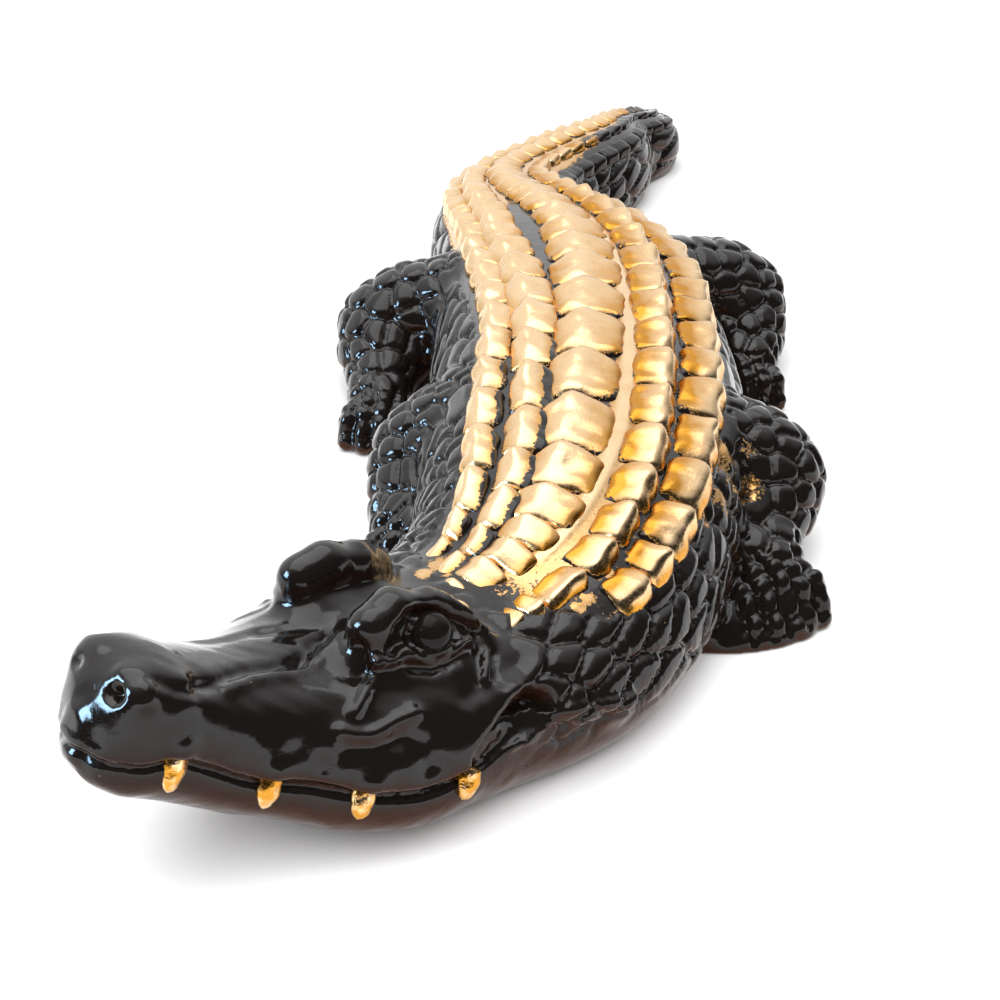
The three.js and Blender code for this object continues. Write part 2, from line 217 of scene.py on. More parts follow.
# The mark of a place far outside the leaf
NO_LEAF = -3.0
# Loose patches of leaf on the nape and dust of it on the left shoulder: plan x, plan y, radius and
# how thickly the gold lies; then the least height at which it does, how steep a patch is and how
# much of its rim is torn off
LOOSE_LEAF = [
    (-15, -131.5, 2.2, 1.6), (-12.3, -128, 2.4, 1.6), (-9.5, -129.3, 2.2, 1.6), (-10.3, -133, 1.3, 1.6),
    (-5.5, -131, 3.5, 1.6), (18, -139, 2.2, 0.9), (21, -132, 2.6, 0.9), (15.5, -141.5, 1.6, 0.9),
    (26, -138, 1.6, 0.9),
    (48.5, -78, 4.2, 0.55), (49, -85, 4, 0.6), (46.5, -96, 3.4, 0.55), (56.5, -70.5, 2.6, 0.4),
    (57, -77, 3.4, 0.5), (43, -106, 2.5, 0.5),
]
LOOSE = {"above": 18, "steep": 2, "torn": 0.45}

# Folds of the left side of the head, in its own frame: height, width and the places that the fold
# runs through, with the half width of a hollow's floor where it has one
FOLDS = [
    # creases and ridges along the snout
    (-1.2, 1.5, [(69.8, 9.8, 27.2), (65.2, 8.8, 26.3), (60.5, 6.7, 26.2), (56.3, 5.6, 26.2),
                 (45.3, 6, 27.2)]),
    (-2.2, 1.8, [(45.3, 6, 27.2), (43.6, 5.1, 27.6), (39.9, 2.9, 28.5), (36.2, 0.8, 29.4)]),
    (0.8, 1.6, [(63.5, 9.5, 25.7), (56.3, 7.8, 25.6), (48.8, 8.6, 26.1), (44.2, 8, 27), (39, 6.1, 28.6),
                (35.2, 4.5, 30.7)]),
    # brow, lids and the hollows round them
    (-2.2, 1.4, [(32.2, 16.2, 32.3), (30.8, 15.5, 36.3), (28.9, 15.3, 38.6), (25.3, 14.8, 39.4),
                 (22, 15.2, 39.5), (19, 15.8, 38), (16, 17, 36.2), (12.1, 17.2, 34.7)]),
    (1.6, 1.3, [(32.4, 16.5, 31.4), (29.6, 16.4, 32.1), (27, 17.5, 31.7), (24.4, 18.6, 31.5),
                (21.5, 19, 32.2), (19, 18.4, 33.1), (15, 17.8, 34)]),
    (-1.3, 1.2, [(30.5, 17, 31), (28.5, 18.2, 29.8), (24.8, 19.6, 29.8), (21.9, 20.1, 30.5),
                 (18.9, 19.7, 31.4)]),
    (1.0, 0.9, [(35.8, 15.5, 30.9), (33.6, 16.5, 30.6), (28.9, 17.3, 31)]),
    (1.7, 1.3, [(35.8, 15.6, 30.6), (36.2, 16.4, 27.2), (38.4, 17.9, 24.7), (41, 19.4, 22.6)]),
    (-2.2, 1.8, [(37.8, 12.6, 32), (37.2, 14.3, 30.3), (36.9, 15.4, 28.4)]),
    (0.7, 0.8, [(22, 10.5, 41), (18.1, 12.5, 40.2), (16.1, 15.1, 38.9), (13.3, 16.3, 36.9),
                (9.7, 16.5, 34.7)]),
    # ear
    (1.7, 1.3, [(11.6, 19.3, 30.8), (12.9, 21.4, 29.2), (14.2, 23.3, 27.8)]),
    (-1.1, 1.0, [(13.4, 19.2, 30.9), (15.7, 23.3, 27.6)]),
    (-1.1, 1.0, [(9.8, 19.5, 30.7), (12.3, 23.7, 27.8)]),
    # cheek and corner of the mouth
    (-0.9, 2.0, [(3.4, 22.1, 29.9), (11.5, 23.7, 27.9), (19.4, 25, 25.6)]),
    (1.0, 1.2, [(44.4, 20.2, 19.9), (41.8, 21.8, 19.5), (39.3, 22.9, 19.7), (36.6, 23.4, 20.8),
                (33.5, 23.5, 22.2), (30.3, 23.8, 23.4)]),
    (-0.9, 1.8, [(43, 22.5, 17), (39, 24.2, 17.2), (35, 25, 18.5)]),
    (-1.2, 2.6, [(33, 25.2, 19.4), (29.5, 27.3, 18), (28, 28.6, 14.6)]),
    (-0.8, 3.0, [(50.5, 19, 16.3), (47, 21.2, 13.8)]),
    (-5.5, 1.6, [(4.6, 29, 23.9, 2.3), (7.7, 29.5, 22.4, 2.0), (11.2, 30.1, 20.3, 1.5),
                 (14.3, 30.7, 17.9, 0.9), (17.1, 30.9, 15.3, 0.4)]),
    (1.5, 1.0, [(11.1, 26.7, 25.5), (7.8, 26.4, 26.4), (4.6, 26.9, 26.6), (2, 28.2, 25.7),
                (0.2, 29, 23.5), (-1, 28, 20.4), (2.3, 28.4, 18.1), (7, 30.4, 17.5),
                (12.9, 30.9, 15.1)]),
    (-1.2, 2.2, [(-3, 28, 24.7), (-7, 28.8, 20.8)]),
    # nostril
    (-2.6, 1.1, [(84.4, 6, 25.8, 0.3), (83.9, 6.7, 25.3, 0.2)]),
    (0.9, 1.5, [(81.7, 4.1, 29.1), (80.3, 5.7, 29.9), (80.1, 7.8, 29.6), (80.4, 10, 28.3),
                (80.8, 11.3, 26)]),
    (-0.9, 1.4, [(79.9, 8.1, 29.6), (77.7, 9.7, 28.9), (74.9, 11.3, 27.8), (71.1, 11.3, 26.7)]),
]
# How many widths of a fold its form reaches, how much fainter folds are on the far side of the
# snout, and between which distances forward they turn so
FOLD_REACH = 4
FAR_FOLDS = {"fainter": 0.75, "from": (28, 36)}
# The groove round an eye: its distance from the ball, its width and its depth
EYE_RING = {"away": 0.7, "wide": 0.7, "deep": 1.2}
# Slow waves of the head's surface: height, size and seed; and their share on its far side, with
# the distances to the left between which they grow to the full
HEAD_WAVES = [(0.14, 10, 3), (0.07, 4.5, 4)]
FAR_WAVES = {"share": 0.3, "grow": (-8, 4)}
# How many waves are laid over each other, the range of their pace, and what brings them to about 1
WAVE = {"count": 6, "pace": (0.7, 1.5), "scale": 3}

# The upper lip: its roll's height over the lip line, width and height; depth and width of the line
# and how far below the lip line it lies; height, length, half height and place over the root of the
# bump at each tooth; and how far out and between which distances forward and up all that comes
LIP = {"over": 1.3, "wide": 1.0, "high": 0.5, "deep": 0.8, "line": 0.6, "below": 0.4, "bump": 0.8,
       "bump_size": (2.6, 2), "bump_over": 2, "out": 5, "forward": (8, 20), "up": (-1, 1)}
# Where the pebbles of the neck end on the head: height and distance forward, in its own frame
COLLAR = [(22, -1.5), (28, 4), (31, 4.5), (34, 2)]
# Pebbles of the hide: least distance between middles, how far in from the joint a pebble is
# rounded, depth of the joints, height, softness of its corners, how many neighbours count, and seed
PEBBLE = {"gap": 5.8, "joint": 2.2, "deep": 1.1, "high": 1.7, "soft": 0.45, "beside": 4, "seed": 7}
# Where they lie: how far the rows slant for each step up, how much longer they get on the tail,
# how far apart a limb's are kept from the trunk's, the height at which they start and over which
# they grow, and how much higher that is at the throat
HIDE = {"slant": 0.5, "longer": 0.45, "tail": (90, 120), "limb_apart": 600, "above": 0.5,
        "grows": (1, 7), "throat": 9, "throat_ends": (60, 35)}
# Where one form's carving gives way to the next: out of the trunk, on the head, at the collar, on a
# limb, and up the slope of the back; and the shares from which skin takes leaf and has no pebbles
FADE = {"trunk": (-1.5, 2.5), "head": (-3.5, 0.5), "collar": (-1.5, 1.5), "limb": (-1, 1.5),
        "back": (0.1, 0.3), "leaf": 0.4, "smooth": 0.9}
# Fingers and toes: depth and level of the groove between two, their width; height, level, pitch and
# stagger of their knobs; how far round the foot they run, where they start and how far they face up
FINGER = {"groove": 2.0, "groove_level": 0.8, "wide": 4.6, "knob": 0.9, "knob_level": 0.6,
          "pitch": 3.4, "stagger": 0.4, "around": 1.6, "starts": (-7, -4), "facing": (0.15, 0.45)}

# A tooth: its radius, rings and sides; how blunt its tip is and the least share of its width there;
# how slim it is at the root and how much fuller in the middle; how far it leans forward, starts in
# from the lip and is rooted; how thin it is and how far its rings slant; and how high its knobs are
# and how they run round and down it
TOOTH = {"radius": 2.6, "rings": 12, "sides": 20, "blunt": 2.6, "tip": 0.004, "slim": 0.86,
         "belly": 0.5, "lean": 1.4, "inset": 1.2, "rooted": 0.8, "thin": 0.9, "slant": 0.3,
         "knobs": 0.1, "lobes": 3, "twist": 5, "bulges": 7}
# Teeth that hang over the lower jaw: distance forward, distance out and height of the root, and
# the length as a share of the longest
TEETH = [
    (72.8, 12.9, 15.2, 1.0), (54.4, 17.2, 10.2, 0.88), (38.2, 24.8, 8.8, 0.8),
    (18.4, 30.6, 12.6, 0.8),
]

# Noises of the lacquer and the leaf: size in millimetres, detail, and roughness where it isn't the
# usual one
NOISE = {
    "torn": (4.0, 4.0, 0.65), "frayed": (0.9, 2.0), "dusted": (14.0, 2.0), "cloudy": (5.0, 3.0),
    "grain": (0.7, 3.0, 0.7), "creased": (3.0, 2.0), "hammered": (2.0, 3.0, 0.65),
    "dimpled": (5.0, 1.0), "swelling": (9.0, 1.0),
}
# Leaf: how strongly each noise tears it and how sharply it ends
TEAR = {"torn": 3.0, "frayed": 2.0, "edge": (-0.05, 0.12)}
# Dust of leaf: size of its cells, which part of a cell and of the clouds it fills, facing upwards
DUST = {"cell": 3.2, "grain": (0.035, 0.055), "clouds": (0.56, 0.62), "facing": (0.4, 0.7)}
# Where the gold's colour deepens: painted shade towards the rim of the leaf and where the mesh marks
# the shaded flanks of the scutes; uneven tone in clouds
GOLD_SHADE_AND_TONE = {"rim": (0.2, 1.8), "at_rim": 0.6, "clouds": (0.5, 0.7), "in_clouds": 0.2, "marked": 0.45}
# Painted reflection of a warm table: where the lacquer turns brown and metallic, most near the table,
# less for each millimetre up, and facing down
PAINTED_WARM_REFLECTION = {"most": 1.2, "each_mm": 0.022, "facing": (-0.5, 0.25)}
# Where the lacquer is polished, and how much
POLISH = {"facing": (-0.1, 0.6), "weight": 0.8}
# How much each noise lifts the leaf or the lacquer, and the height and strength of those bumps
BUMP = {"grain": 0.35, "hammered": 1.8, "dimpled": 1.5, "swelling": 3.0, "high": 0.12,
        "strength": 0.6}
# How much the grain of the leaf changes its gloss
GRAIN_ROUGHNESS = 0.5
# Gold on the teeth: noise and extent of its patina; noise of its gloss, how uneven that is and how
# much glossier than the leaf; and noise, height and strength of its bump
TOOTH_GOLD = {"patina_noise": (2.2, 3.0), "patina": (0.3, 0.55), "gloss_noise": (1.2,), "uneven": 0.2,
              "glossier": 0.1, "bump_noise": (1.5, 3.0), "high": 0.5, "strength": 0.7}
# Gloss of the eyes: its noise, its share of the lacquer's roughness, and how uneven it is
EYE_GLOSS = {"noise": (2.0,), "share": 0.6, "uneven": 0.06}

# The floor, with half its side in metres
FLOOR = {"half": 4.0, "roughness": 0.9}
# The room: the way to its pale side, where it turns pale and its least and most brightness
ROOM = {"pale_way": (-0.25, 0.75, 0.6), "turns_pale": (0.05, 0.85), "brightness": (0.03, 1.05)}
# The lights, with places and sizes in metres
LIGHTS = {
    "overhead": {"place": (-0.2, 0.1, 1.4), "target": (0, 0, 0), "size": (1.6, 1.4), "power": 9.5},
    "fill": {"place": (0, -1.0, 1.2), "target": (0, -0.2, 0), "size": (2, 1.6), "power": 40,
             "glossy": False},
    "window": {"place": (-1.1, -0.5, 0.5), "target": (-0.06, -0.18, 0.03), "size": (0.45, 0.45),
               "power": 18, "colour": (0.45, 0.72, 1), "diffuse": False},
}
# The camera: its place in metres, how far it looks down, its tilt, its lens and its film's width
CAMERA = {"place": (-0.00084, -0.47844, 0.2475), "down": math.radians(30), "tilt": math.radians(0.8),
          "lens": 72.04, "film": 36, "clip": 0.01}


# Shapes of numbers

def smooth_rows(rows, at):
    """A smooth curve through the rows of a table, at row numbers that need not be whole"""
    last = len(rows) - 1
    i = np.clip(np.floor(at).astype(int), 0, last - 1)
    t = (at - i)[:, None]
    before = rows[np.maximum(i - 1, 0)]
    a = rows[i]
    b = rows[i + 1]
    after = rows[np.minimum(i + 2, last)]
    slope_a = (b - before) / np.where(i > 0, 2, 1)[:, None]
    slope_b = (after - a) / np.where(i + 1 < last, 2, 1)[:, None]
    t2 = t * t
    t3 = t2 * t
    return ((2 * t3 - 3 * t2 + 1) * a + (t3 - 2 * t2 + t) * slope_a
            + (3 * t2 - 2 * t3) * b + (t3 - t2) * slope_b)


def ramp(low, high, value):
    """0 below low, 1 above high and smooth between them"""
    t = np.clip((value - low) / (high - low), 0, 1)
    return t * t * (3 - 2 * t)


def read_off(pairs, at):
    """The value at a place, from a list of places and values"""
    return np.interp(at, *zip(*pairs))


def melt(a, b, width):
    """The nearer of two forms, with a soft fillet where they meet"""
    h = np.clip(0.5 + 0.5 * (b - a) / width, 0, 1)
    return b + (a - b) * h - width * h * (1 - h)


spine = smooth_rows(SPINE, np.linspace(0, len(SPINE) - 1, SPINE_SAMPLES))
spine_steps = np.hypot(*np.diff(spine[:, :2], axis=0).T)
spine_at = np.concatenate([[0], np.cumsum(spine_steps)])
SPINE_LENGTH = spine_at[-1]
spine_along = np.gradient(spine[:, :2], spine_at, axis=0)
spine_along /= np.linalg.norm(spine_along, axis=1)[:, None]
jaws = smooth_rows(JAWS, np.linspace(len(JAWS) - 1, 0, JAW_SAMPLES))

level = np.array([-math.cos(HEAD["yaw"]), -math.sin(HEAD["yaw"]), 0])
HEAD_FORWARD = level * math.cos(HEAD["pitch"]) + np.array([0, 0, math.sin(HEAD["pitch"])])
HEAD_LEFT = np.array([math.sin(HEAD["yaw"]), -math.cos(HEAD["yaw"]), 0])
HEAD_UP = np.cross(HEAD_FORWARD, HEAD_LEFT)
HEAD_AXES = np.array([HEAD_FORWARD, HEAD_LEFT, HEAD_UP])
HEAD_PLACE = np.array([HEAD["x"], HEAD["y"], 0])


def from_head(places):
    """Places in the head's own frame, on the plan"""
    return np.asarray(places, float) @ HEAD_AXES + HEAD_PLACE


def into_head(places):
    """Places on the plan, in the head's own frame"""
    return (places - HEAD_PLACE) @ HEAD_AXES.T


# Distance to each form of the animal, negative inside

def beside_spine(x, y):
    """Distance along the spine, across it and past its ends"""
    nearest = np.empty(len(x), int)
    chunk = 20000
    for start in range(0, len(x), chunk):
        part = slice(start, start + chunk)
        gap = (x[part, None] - spine[:, 0]) ** 2 + (y[part, None] - spine[:, 1]) ** 2
        nearest[part] = gap.argmin(1)
    dx = x - spine[nearest, 0]
    dy = y - spine[nearest, 1]
    along = spine_along[nearest]
    length = spine_at[nearest] + dx * along[:, 0] + dy * along[:, 1]
    across = dx * along[:, 1] - dy * along[:, 0]
    past = np.maximum(0, -length) + np.maximum(0, length - SPINE_LENGTH)
    return np.clip(length, 0, SPINE_LENGTH), across, past


def trunk_distance(length, across, past, z):
    """Distance to the trunk and tail, for places given along and across the spine"""
    _, _, half, height = spine_at_length(length)
    widest = height * WIDEST_AT
    rise = z - widest
    power = np.where(rise > 0, BACK_SQUARENESS, SIDE_SQUARENESS)
    reach = np.where(rise > 0, height - widest, widest + UNDERCUT)
    out = (abs(across) / half) ** power + (abs(rise) / reach) ** power + (past / half) ** power
    return (out ** (1 / power) - 1) * np.minimum(half, reach)


def jaw_distance(x, y, z, jaw):
    """Distance to one jaw, for places in the head's own frame"""
    inside_x = np.clip(x, jaws[0, 0], jaws[-1, 0])
    half, top, lip, bottom = [np.interp(inside_x, jaws[:, 0], jaws[:, k]) for k in range(1, 5)]
    half = half - jaw["inset"]
    middle = lip + jaw["middle"]
    upper = jaw is UPPER_JAW
    above = top - middle if upper else jaw["lap"]
    below = jaw["lap"] if upper else middle - bottom
    rise = z - middle
    power = np.where(rise > 0, jaw["above"], jaw["below"])
    reach = np.where(rise > 0, above, below)
    past = abs(x - inside_x)
    out = (abs(y) / half) ** power + (abs(rise) / reach) ** power + past ** power
    return (out ** (1 / power) - 1) * np.minimum(half, reach)


def chain_distance(x, y, z, joints, softness=1.0):
    """Distance to a row of balls whose radii run smoothly from one to the next"""
    nearest = None
    for start, end in zip(joints, joints[1:]):
        start = np.asarray(start, float)
        axis = np.asarray(end, float) - start
        span = axis[:3] @ axis[:3]
        t = ((x - start[0]) * axis[0] + (y - start[1]) * axis[1] + (z - start[2]) * axis[2]) / span
        t = np.clip(t, 0, 1)
        gap = np.sqrt((x - start[0] - t * axis[0]) ** 2 + (y - start[1] - t * axis[1]) ** 2
                      + (z - start[2] - t * axis[2]) ** 2) - start[3] - t * axis[3]
        nearest = gap if nearest is None else melt(nearest, gap, softness)
    return nearest


def limb_chain(limb):
    """A limb as a chain of balls, from the trunk to the wrist or ankle"""
    joints = np.array(limb["joints"], float)
    return smooth_rows(joints, np.linspace(0, len(joints) - 1, LIMB_SEGMENTS + 1))


def toe_chains(limb):
    """The toes of a limb, each as a chain of three balls"""
    x, y, z, radius = limb["joints"][-1]
    across = math.radians(limb["heading"] + 90)
    chains = []
    for i in range(TOE["count"]):
        share = 2 * i / (TOE["count"] - 1) - 1
        angle = math.radians(limb["heading"] + share * TOE["fan"])
        out = share * (radius - TOE["inset"])
        reach = limb["reach"] * (1 - TOE["short"] * share * share)

        def at(distance, height, ball):
            return (x + out * math.cos(across) + distance * math.cos(angle),
                    y + out * math.sin(across) + distance * math.sin(angle), height, ball)

        chains.append([at(0, z, TOE["knuckle"]),
                       at(reach * TOE["bend"], z + TOE["rise"], TOE["knuckle"]),
                       at(reach, TOE["tip"], TOE["tip"])])
    return chains


def pad_distance(x, y, z):
    """Distance to the pad under the chest"""
    pad = CHEST_PAD
    out = np.sqrt(((x - pad["x"]) / pad["wide"]) ** 2 + ((y - pad["y"]) / pad["long"]) ** 2
                  + (z / pad["high"]) ** 2)
    return (out - 1) * pad["high"]


def head_distance(x, y, z):
    """Distance to the head, for places in its own frame"""
    out = abs(y)
    head = melt(jaw_distance(x, y, z, UPPER_JAW), jaw_distance(x, y, z, LOWER_JAW), MELT["lip"])
    head = melt(head, chain_distance(x, out, z, BROW_MASS, CHAIN_MELT["brow"]), MELT["brow"])
    head = melt(head, chain_distance(x, out, z, BROW_ROLL, CHAIN_MELT["roll"]), MELT["roll"])
    return melt(head, chain_distance(x, out, z, NOSTRIL), MELT["nostril"])


# The skin of the whole animal

def span_of(chain, margin):
    """Corners of a box around a chain of balls"""
    chain = np.asarray(chain, float)
    radius = chain[:, 3:4]
    return (chain[:, :3] - radius).min(0) - margin, (chain[:, :3] + radius).max(0) + margin


class Block:
    """A block of plaster, as distances to the surface on a grid of even steps"""

    def __init__(self, low, high, step):
        self.step = step
        self.low = np.array([low[0], low[1], -GRID["below"] * step])
        self.counts = np.ceil((np.asarray(high) - self.low) / step).astype(int) + 2
        self.axes = [self.low[k] + step * np.arange(self.counts[k]) for k in range(3)]
        x, y = np.meshgrid(self.axes[0], self.axes[1], indexing="ij")
        flat = [v.reshape(*x.shape, 1) for v in beside_spine(x.ravel(), y.ravel())]
        self.field = trunk_distance(*flat, self.axes[2][None, None, :]).astype(np.float32)

    def add(self, low, high, distance, width):
        """Melts a form into the block, inside a box that holds it"""
        first = np.clip(((low - self.low) / self.step).astype(int), 0, self.counts)
        last = np.clip(((high - self.low) / self.step).astype(int) + 2, 0, self.counts)
        part = tuple(slice(a, b) for a, b in zip(first, last))
        x, y, z = np.meshgrid(*[axis[s] for axis, s in zip(self.axes, part)], indexing="ij")
        self.field[part] = melt(self.field[part], distance(x, y, z), width)

    def stand_on_table(self):
        """Cuts the block flat at the table"""
        self.field = np.maximum(self.field, -self.axes[2][None, None, :].astype(np.float32))

    def skin(self):
        """Corners and four-sided faces of the surface, one corner in each cell that it crosses"""
        inside = self.field < 0
        near = [(i, j, k) for i in (0, 1) for j in (0, 1) for k in (0, 1)]
        cells = [n - 1 for n in self.counts]
        count = sum(inside[i:i + cells[0], j:j + cells[1], k:k + cells[2]].astype(np.int8)
                    for i, j, k in near)
        crossed = (count > 0) & (count < 8)
        number = np.full(cells, -1, np.int32)
        at = np.argwhere(crossed)
        number[crossed] = np.arange(len(at))
        total = np.zeros((len(at), 3))
        hits = np.zeros(len(at))
        for corner in near:
            for axis in range(3):
                if corner[axis]:
                    continue
                start = at + corner
                end = start.copy()
                end[:, axis] += 1
                a = self.field[tuple(start.T)]
                b = self.field[tuple(end.T)]
                cut = (a < 0) != (b < 0)
                share = np.where(cut, a / np.where(cut, a - b, 1), 0)
                place = np.tile(np.array(corner, float), (len(at), 1))
                place[:, axis] += share
                total += place * cut[:, None]
                hits += cut
        corners = self.low + self.step * (at + total / hits[:, None])
        faces = []
        for axis in range(3):
            u, v = (axis + 1) % 3, (axis + 2) % 3
            low = [slice(1, n - 1) for n in self.counts]
            high = list(low)
            low[axis] = slice(0, self.counts[axis] - 1)
            high[axis] = slice(1, self.counts[axis])
            leaving = inside[tuple(low)]
            entering = inside[tuple(high)]
            for flip, change in ((False, leaving & ~entering), (True, entering & ~leaving)):
                edge = np.argwhere(change)
                edge[:, u] += 1
                edge[:, v] += 1
                ring = []
                for du, dv in ((0, 0), (1, 0), (1, 1), (0, 1)):
                    cell = edge.copy()
                    cell[:, u] -= du
                    cell[:, v] -= dv
                    ring.append(number[tuple(cell.T)])
                ring = ring[::-1] if flip else ring
                faces.append(np.stack(ring, 1))
        return corners, np.concatenate(faces)


def corner_normals(corners, faces):
    """The way out of the surface at each corner"""
    p = corners[faces]
    across = np.cross(p[:, 2] - p[:, 0], p[:, 3] - p[:, 1])
    normals = np.zeros_like(corners)
    for k in range(4):
        for axis in range(3):
            normals[:, axis] += np.bincount(faces[:, k], across[:, axis], len(corners))
    return normals / np.maximum(np.linalg.norm(normals, axis=1), 1e-9)[:, None]


def eased(values, faces, rounds, share):
    """Values drawn towards the mean of their neighbours, which takes out the grid's ripple"""
    count = np.zeros(len(values))
    for k in range(4):
        count += 2 * np.bincount(faces[:, k], minlength=len(values))
    for _ in range(rounds):
        mean = np.zeros_like(values)
        for k in range(4):
            for beside in ((k + 1) % 4, (k + 3) % 4):
                for axis in range(values.shape[1]):
                    beyond = values[faces[:, beside], axis]
                    mean[:, axis] += np.bincount(faces[:, k], beyond, len(values))
        values = values + share * (mean / count[:, None] - values)
    return values


def plain_skin(step):
    """The whole animal with its main forms and no carving"""
    margin = GRID["round_limb"]
    beyond = GRID["round_box"] * step
    block = Block(BOX_LOW - beyond, BOX_HIGH + beyond, step)
    for limb in LIMBS:
        chain = limb_chain(limb)
        block.add(*span_of(chain, margin),
                  lambda x, y, z: chain_distance(x, y, z, chain, CHAIN_MELT["limb"]), MELT["limb"])
        for toe in toe_chains(limb):
            block.add(*span_of(toe, GRID["round_toe"]), lambda x, y, z: chain_distance(x, y, z, toe),
                      MELT["toe"])
    pad = CHEST_PAD
    reach = np.array([pad["wide"], pad["long"], pad["high"]]) + margin
    middle = np.array([pad["x"], pad["y"], 0])
    block.add(middle - reach, middle + reach, pad_distance, MELT["pad"])

    def head(x, y, z):
        places = into_head(np.stack([x, y, z], -1))
        return head_distance(places[..., 0], places[..., 1], places[..., 2])

    corners = from_head(list(product(*HEAD_REACH)))
    block.add(corners.min(0), corners.max(0), head, MELT["head"])
    block.stand_on_table()
    return block.skin()


# Carving

def wave(places, size, seed):
    """Slow even waves, about -1 to 1, for the unevenness of a hand-made surface"""
    turn = np.random.default_rng(seed)
    total = np.zeros(len(places))
    for _ in range(WAVE["count"]):
        direction = turn.normal(size=3)
        direction /= np.linalg.norm(direction)
        pace = turn.uniform(*WAVE["pace"]) * 2 * math.pi / size
        total += np.sin(places @ direction * pace + turn.uniform(0, 2 * math.pi))
    return total / WAVE["scale"]


def row_starts(row):
    """Where each scute of a row starts along the spine"""
    starts = list(row["starts"])
    while starts[-1] < ROWS_END:
        starts.append(starts[-1] + float(read_off(TAIL_SCUTES, starts[-1])))
    return starts


def spine_at_length(length):
    """Plan x and y, half width and height of the trunk at distances along the spine"""
    return [np.interp(length, spine_at, spine[:, k]) for k in range(4)]


def row_size(half):
    """Size of the rows' forms where the trunk has a half width, as a share of the full size"""
    return np.clip(half / FULL_ROW["half"], FULL_ROW["least"], 1)


def on_back(length, across, lift):
    """Places on the plan at a lift over the back's surface"""
    x, y, half, height = spine_at_length(length)
    along = np.stack([np.interp(length, spine_at, spine_along[:, k]) for k in range(2)], -1)
    widest = height * WIDEST_AT

    def surface(a):
        share = np.minimum(abs(a / half), 1) ** BACK_SQUARENESS
        return widest + (height - widest) * (1 - share) ** (1 / BACK_SQUARENESS)

    slope = surface(across + 0.5) - surface(across - 0.5)
    tilt = np.hypot(1, slope)
    out = across - lift * slope / tilt
    return np.stack([x + out * along[..., 1], y - out * along[..., 0],
                     surface(across) + lift / tilt], -1)


def scute_grid(row, start, span, relief):
    """Corners of one scute, how far inside the gold leaf each lies and how deep the painted shade on
    its flanks
    """
    p = np.sin(np.linspace(-1, 1, SCUTE["rows"]) * math.pi / 2)[:, None]
    q = np.sin(np.linspace(-1, 1, SCUTE["columns"]) * math.pi / 2)[None, :]
    u = (p + 1) / 2
    size = row_size(spine_at_length(start)[2])
    grown = float(ramp(*NAPE_SIZE["ends"], start))
    wide = row["wide"] * size / 2 * (row["nape"] + (1 - row["nape"]) * grown)
    wide *= 1 + SCUTE["uneven"] * math.sin(SCUTE["pace"] * start)
    tall = size * (NAPE_SIZE["high"] + (1 - NAPE_SIZE["high"]) * grown)
    length = start + span * ((1 - SCUTE["gap"]) * u - SCUTE["bow"] * q * q * u)
    middle = np.interp(length, ROW_STATIONS, row["across"]) * spine_at_length(length)[2]
    across = middle + wide * q
    keel = row["keel"]
    flank = np.where(q < keel, (q + 1) / (1 + keel), (1 - q) / (1 - keel))
    flank = np.clip(1 + SCUTE["blunt"] - np.sqrt((1 - flank) ** 2 + SCUTE["blunt"] ** 2), 0, 1)
    cross = SCUTE["edge"] + (1 - SCUTE["edge"]) * flank ** SCUTE["hollow"]
    rise = SCUTE["toe"] + (SCUTE["crest"] - SCUTE["toe"]) * ramp(0, SCUTE["crest_at"], u)
    turn = ((1 - abs(p) ** SCUTE["square"]) * (1 - abs(q) ** SCUTE["square"])) ** SCUTE["turn"]
    lift = -SCUTE["root"] + (rise * cross * tall * relief + SCUTE["root"]) * turn
    torn = (lift / tall - SCUTE_LEAF["torn"]) * SCUTE_LEAF["thickens"]
    bare = row["bare"] * float(ramp(*SCUTE_LEAF["bare_ends"], start))
    inside = (1 - 2 * bare - q) * wide + SCUTE_LEAF["laps"] * (bare < SCUTE_LEAF["bare"])
    leaf = np.minimum(np.minimum(torn, inside), (row["leaf_ends"] - start) / SCUTE_LEAF["ends"])
    # Painted shade on the flanks of the scutes, left out at the head end that faces the light
    flank_shade = np.minimum(SCUTE_LEAF["shade_deepens"] * (1 - flank), 1)
    deep = row["deep"] * flank_shade * ramp(*SCUTE_LEAF["unshaded_end"], p)
    places = on_back(length, across, lift)
    flat = places.reshape(-1, 3)
    dents = np.stack([wave(flat, SCUTE["dents"], seed) for seed in SCUTE["dent_seeds"]], -1)
    return places + SCUTE["dent"] * size * dents.reshape(places.shape), leaf, deep


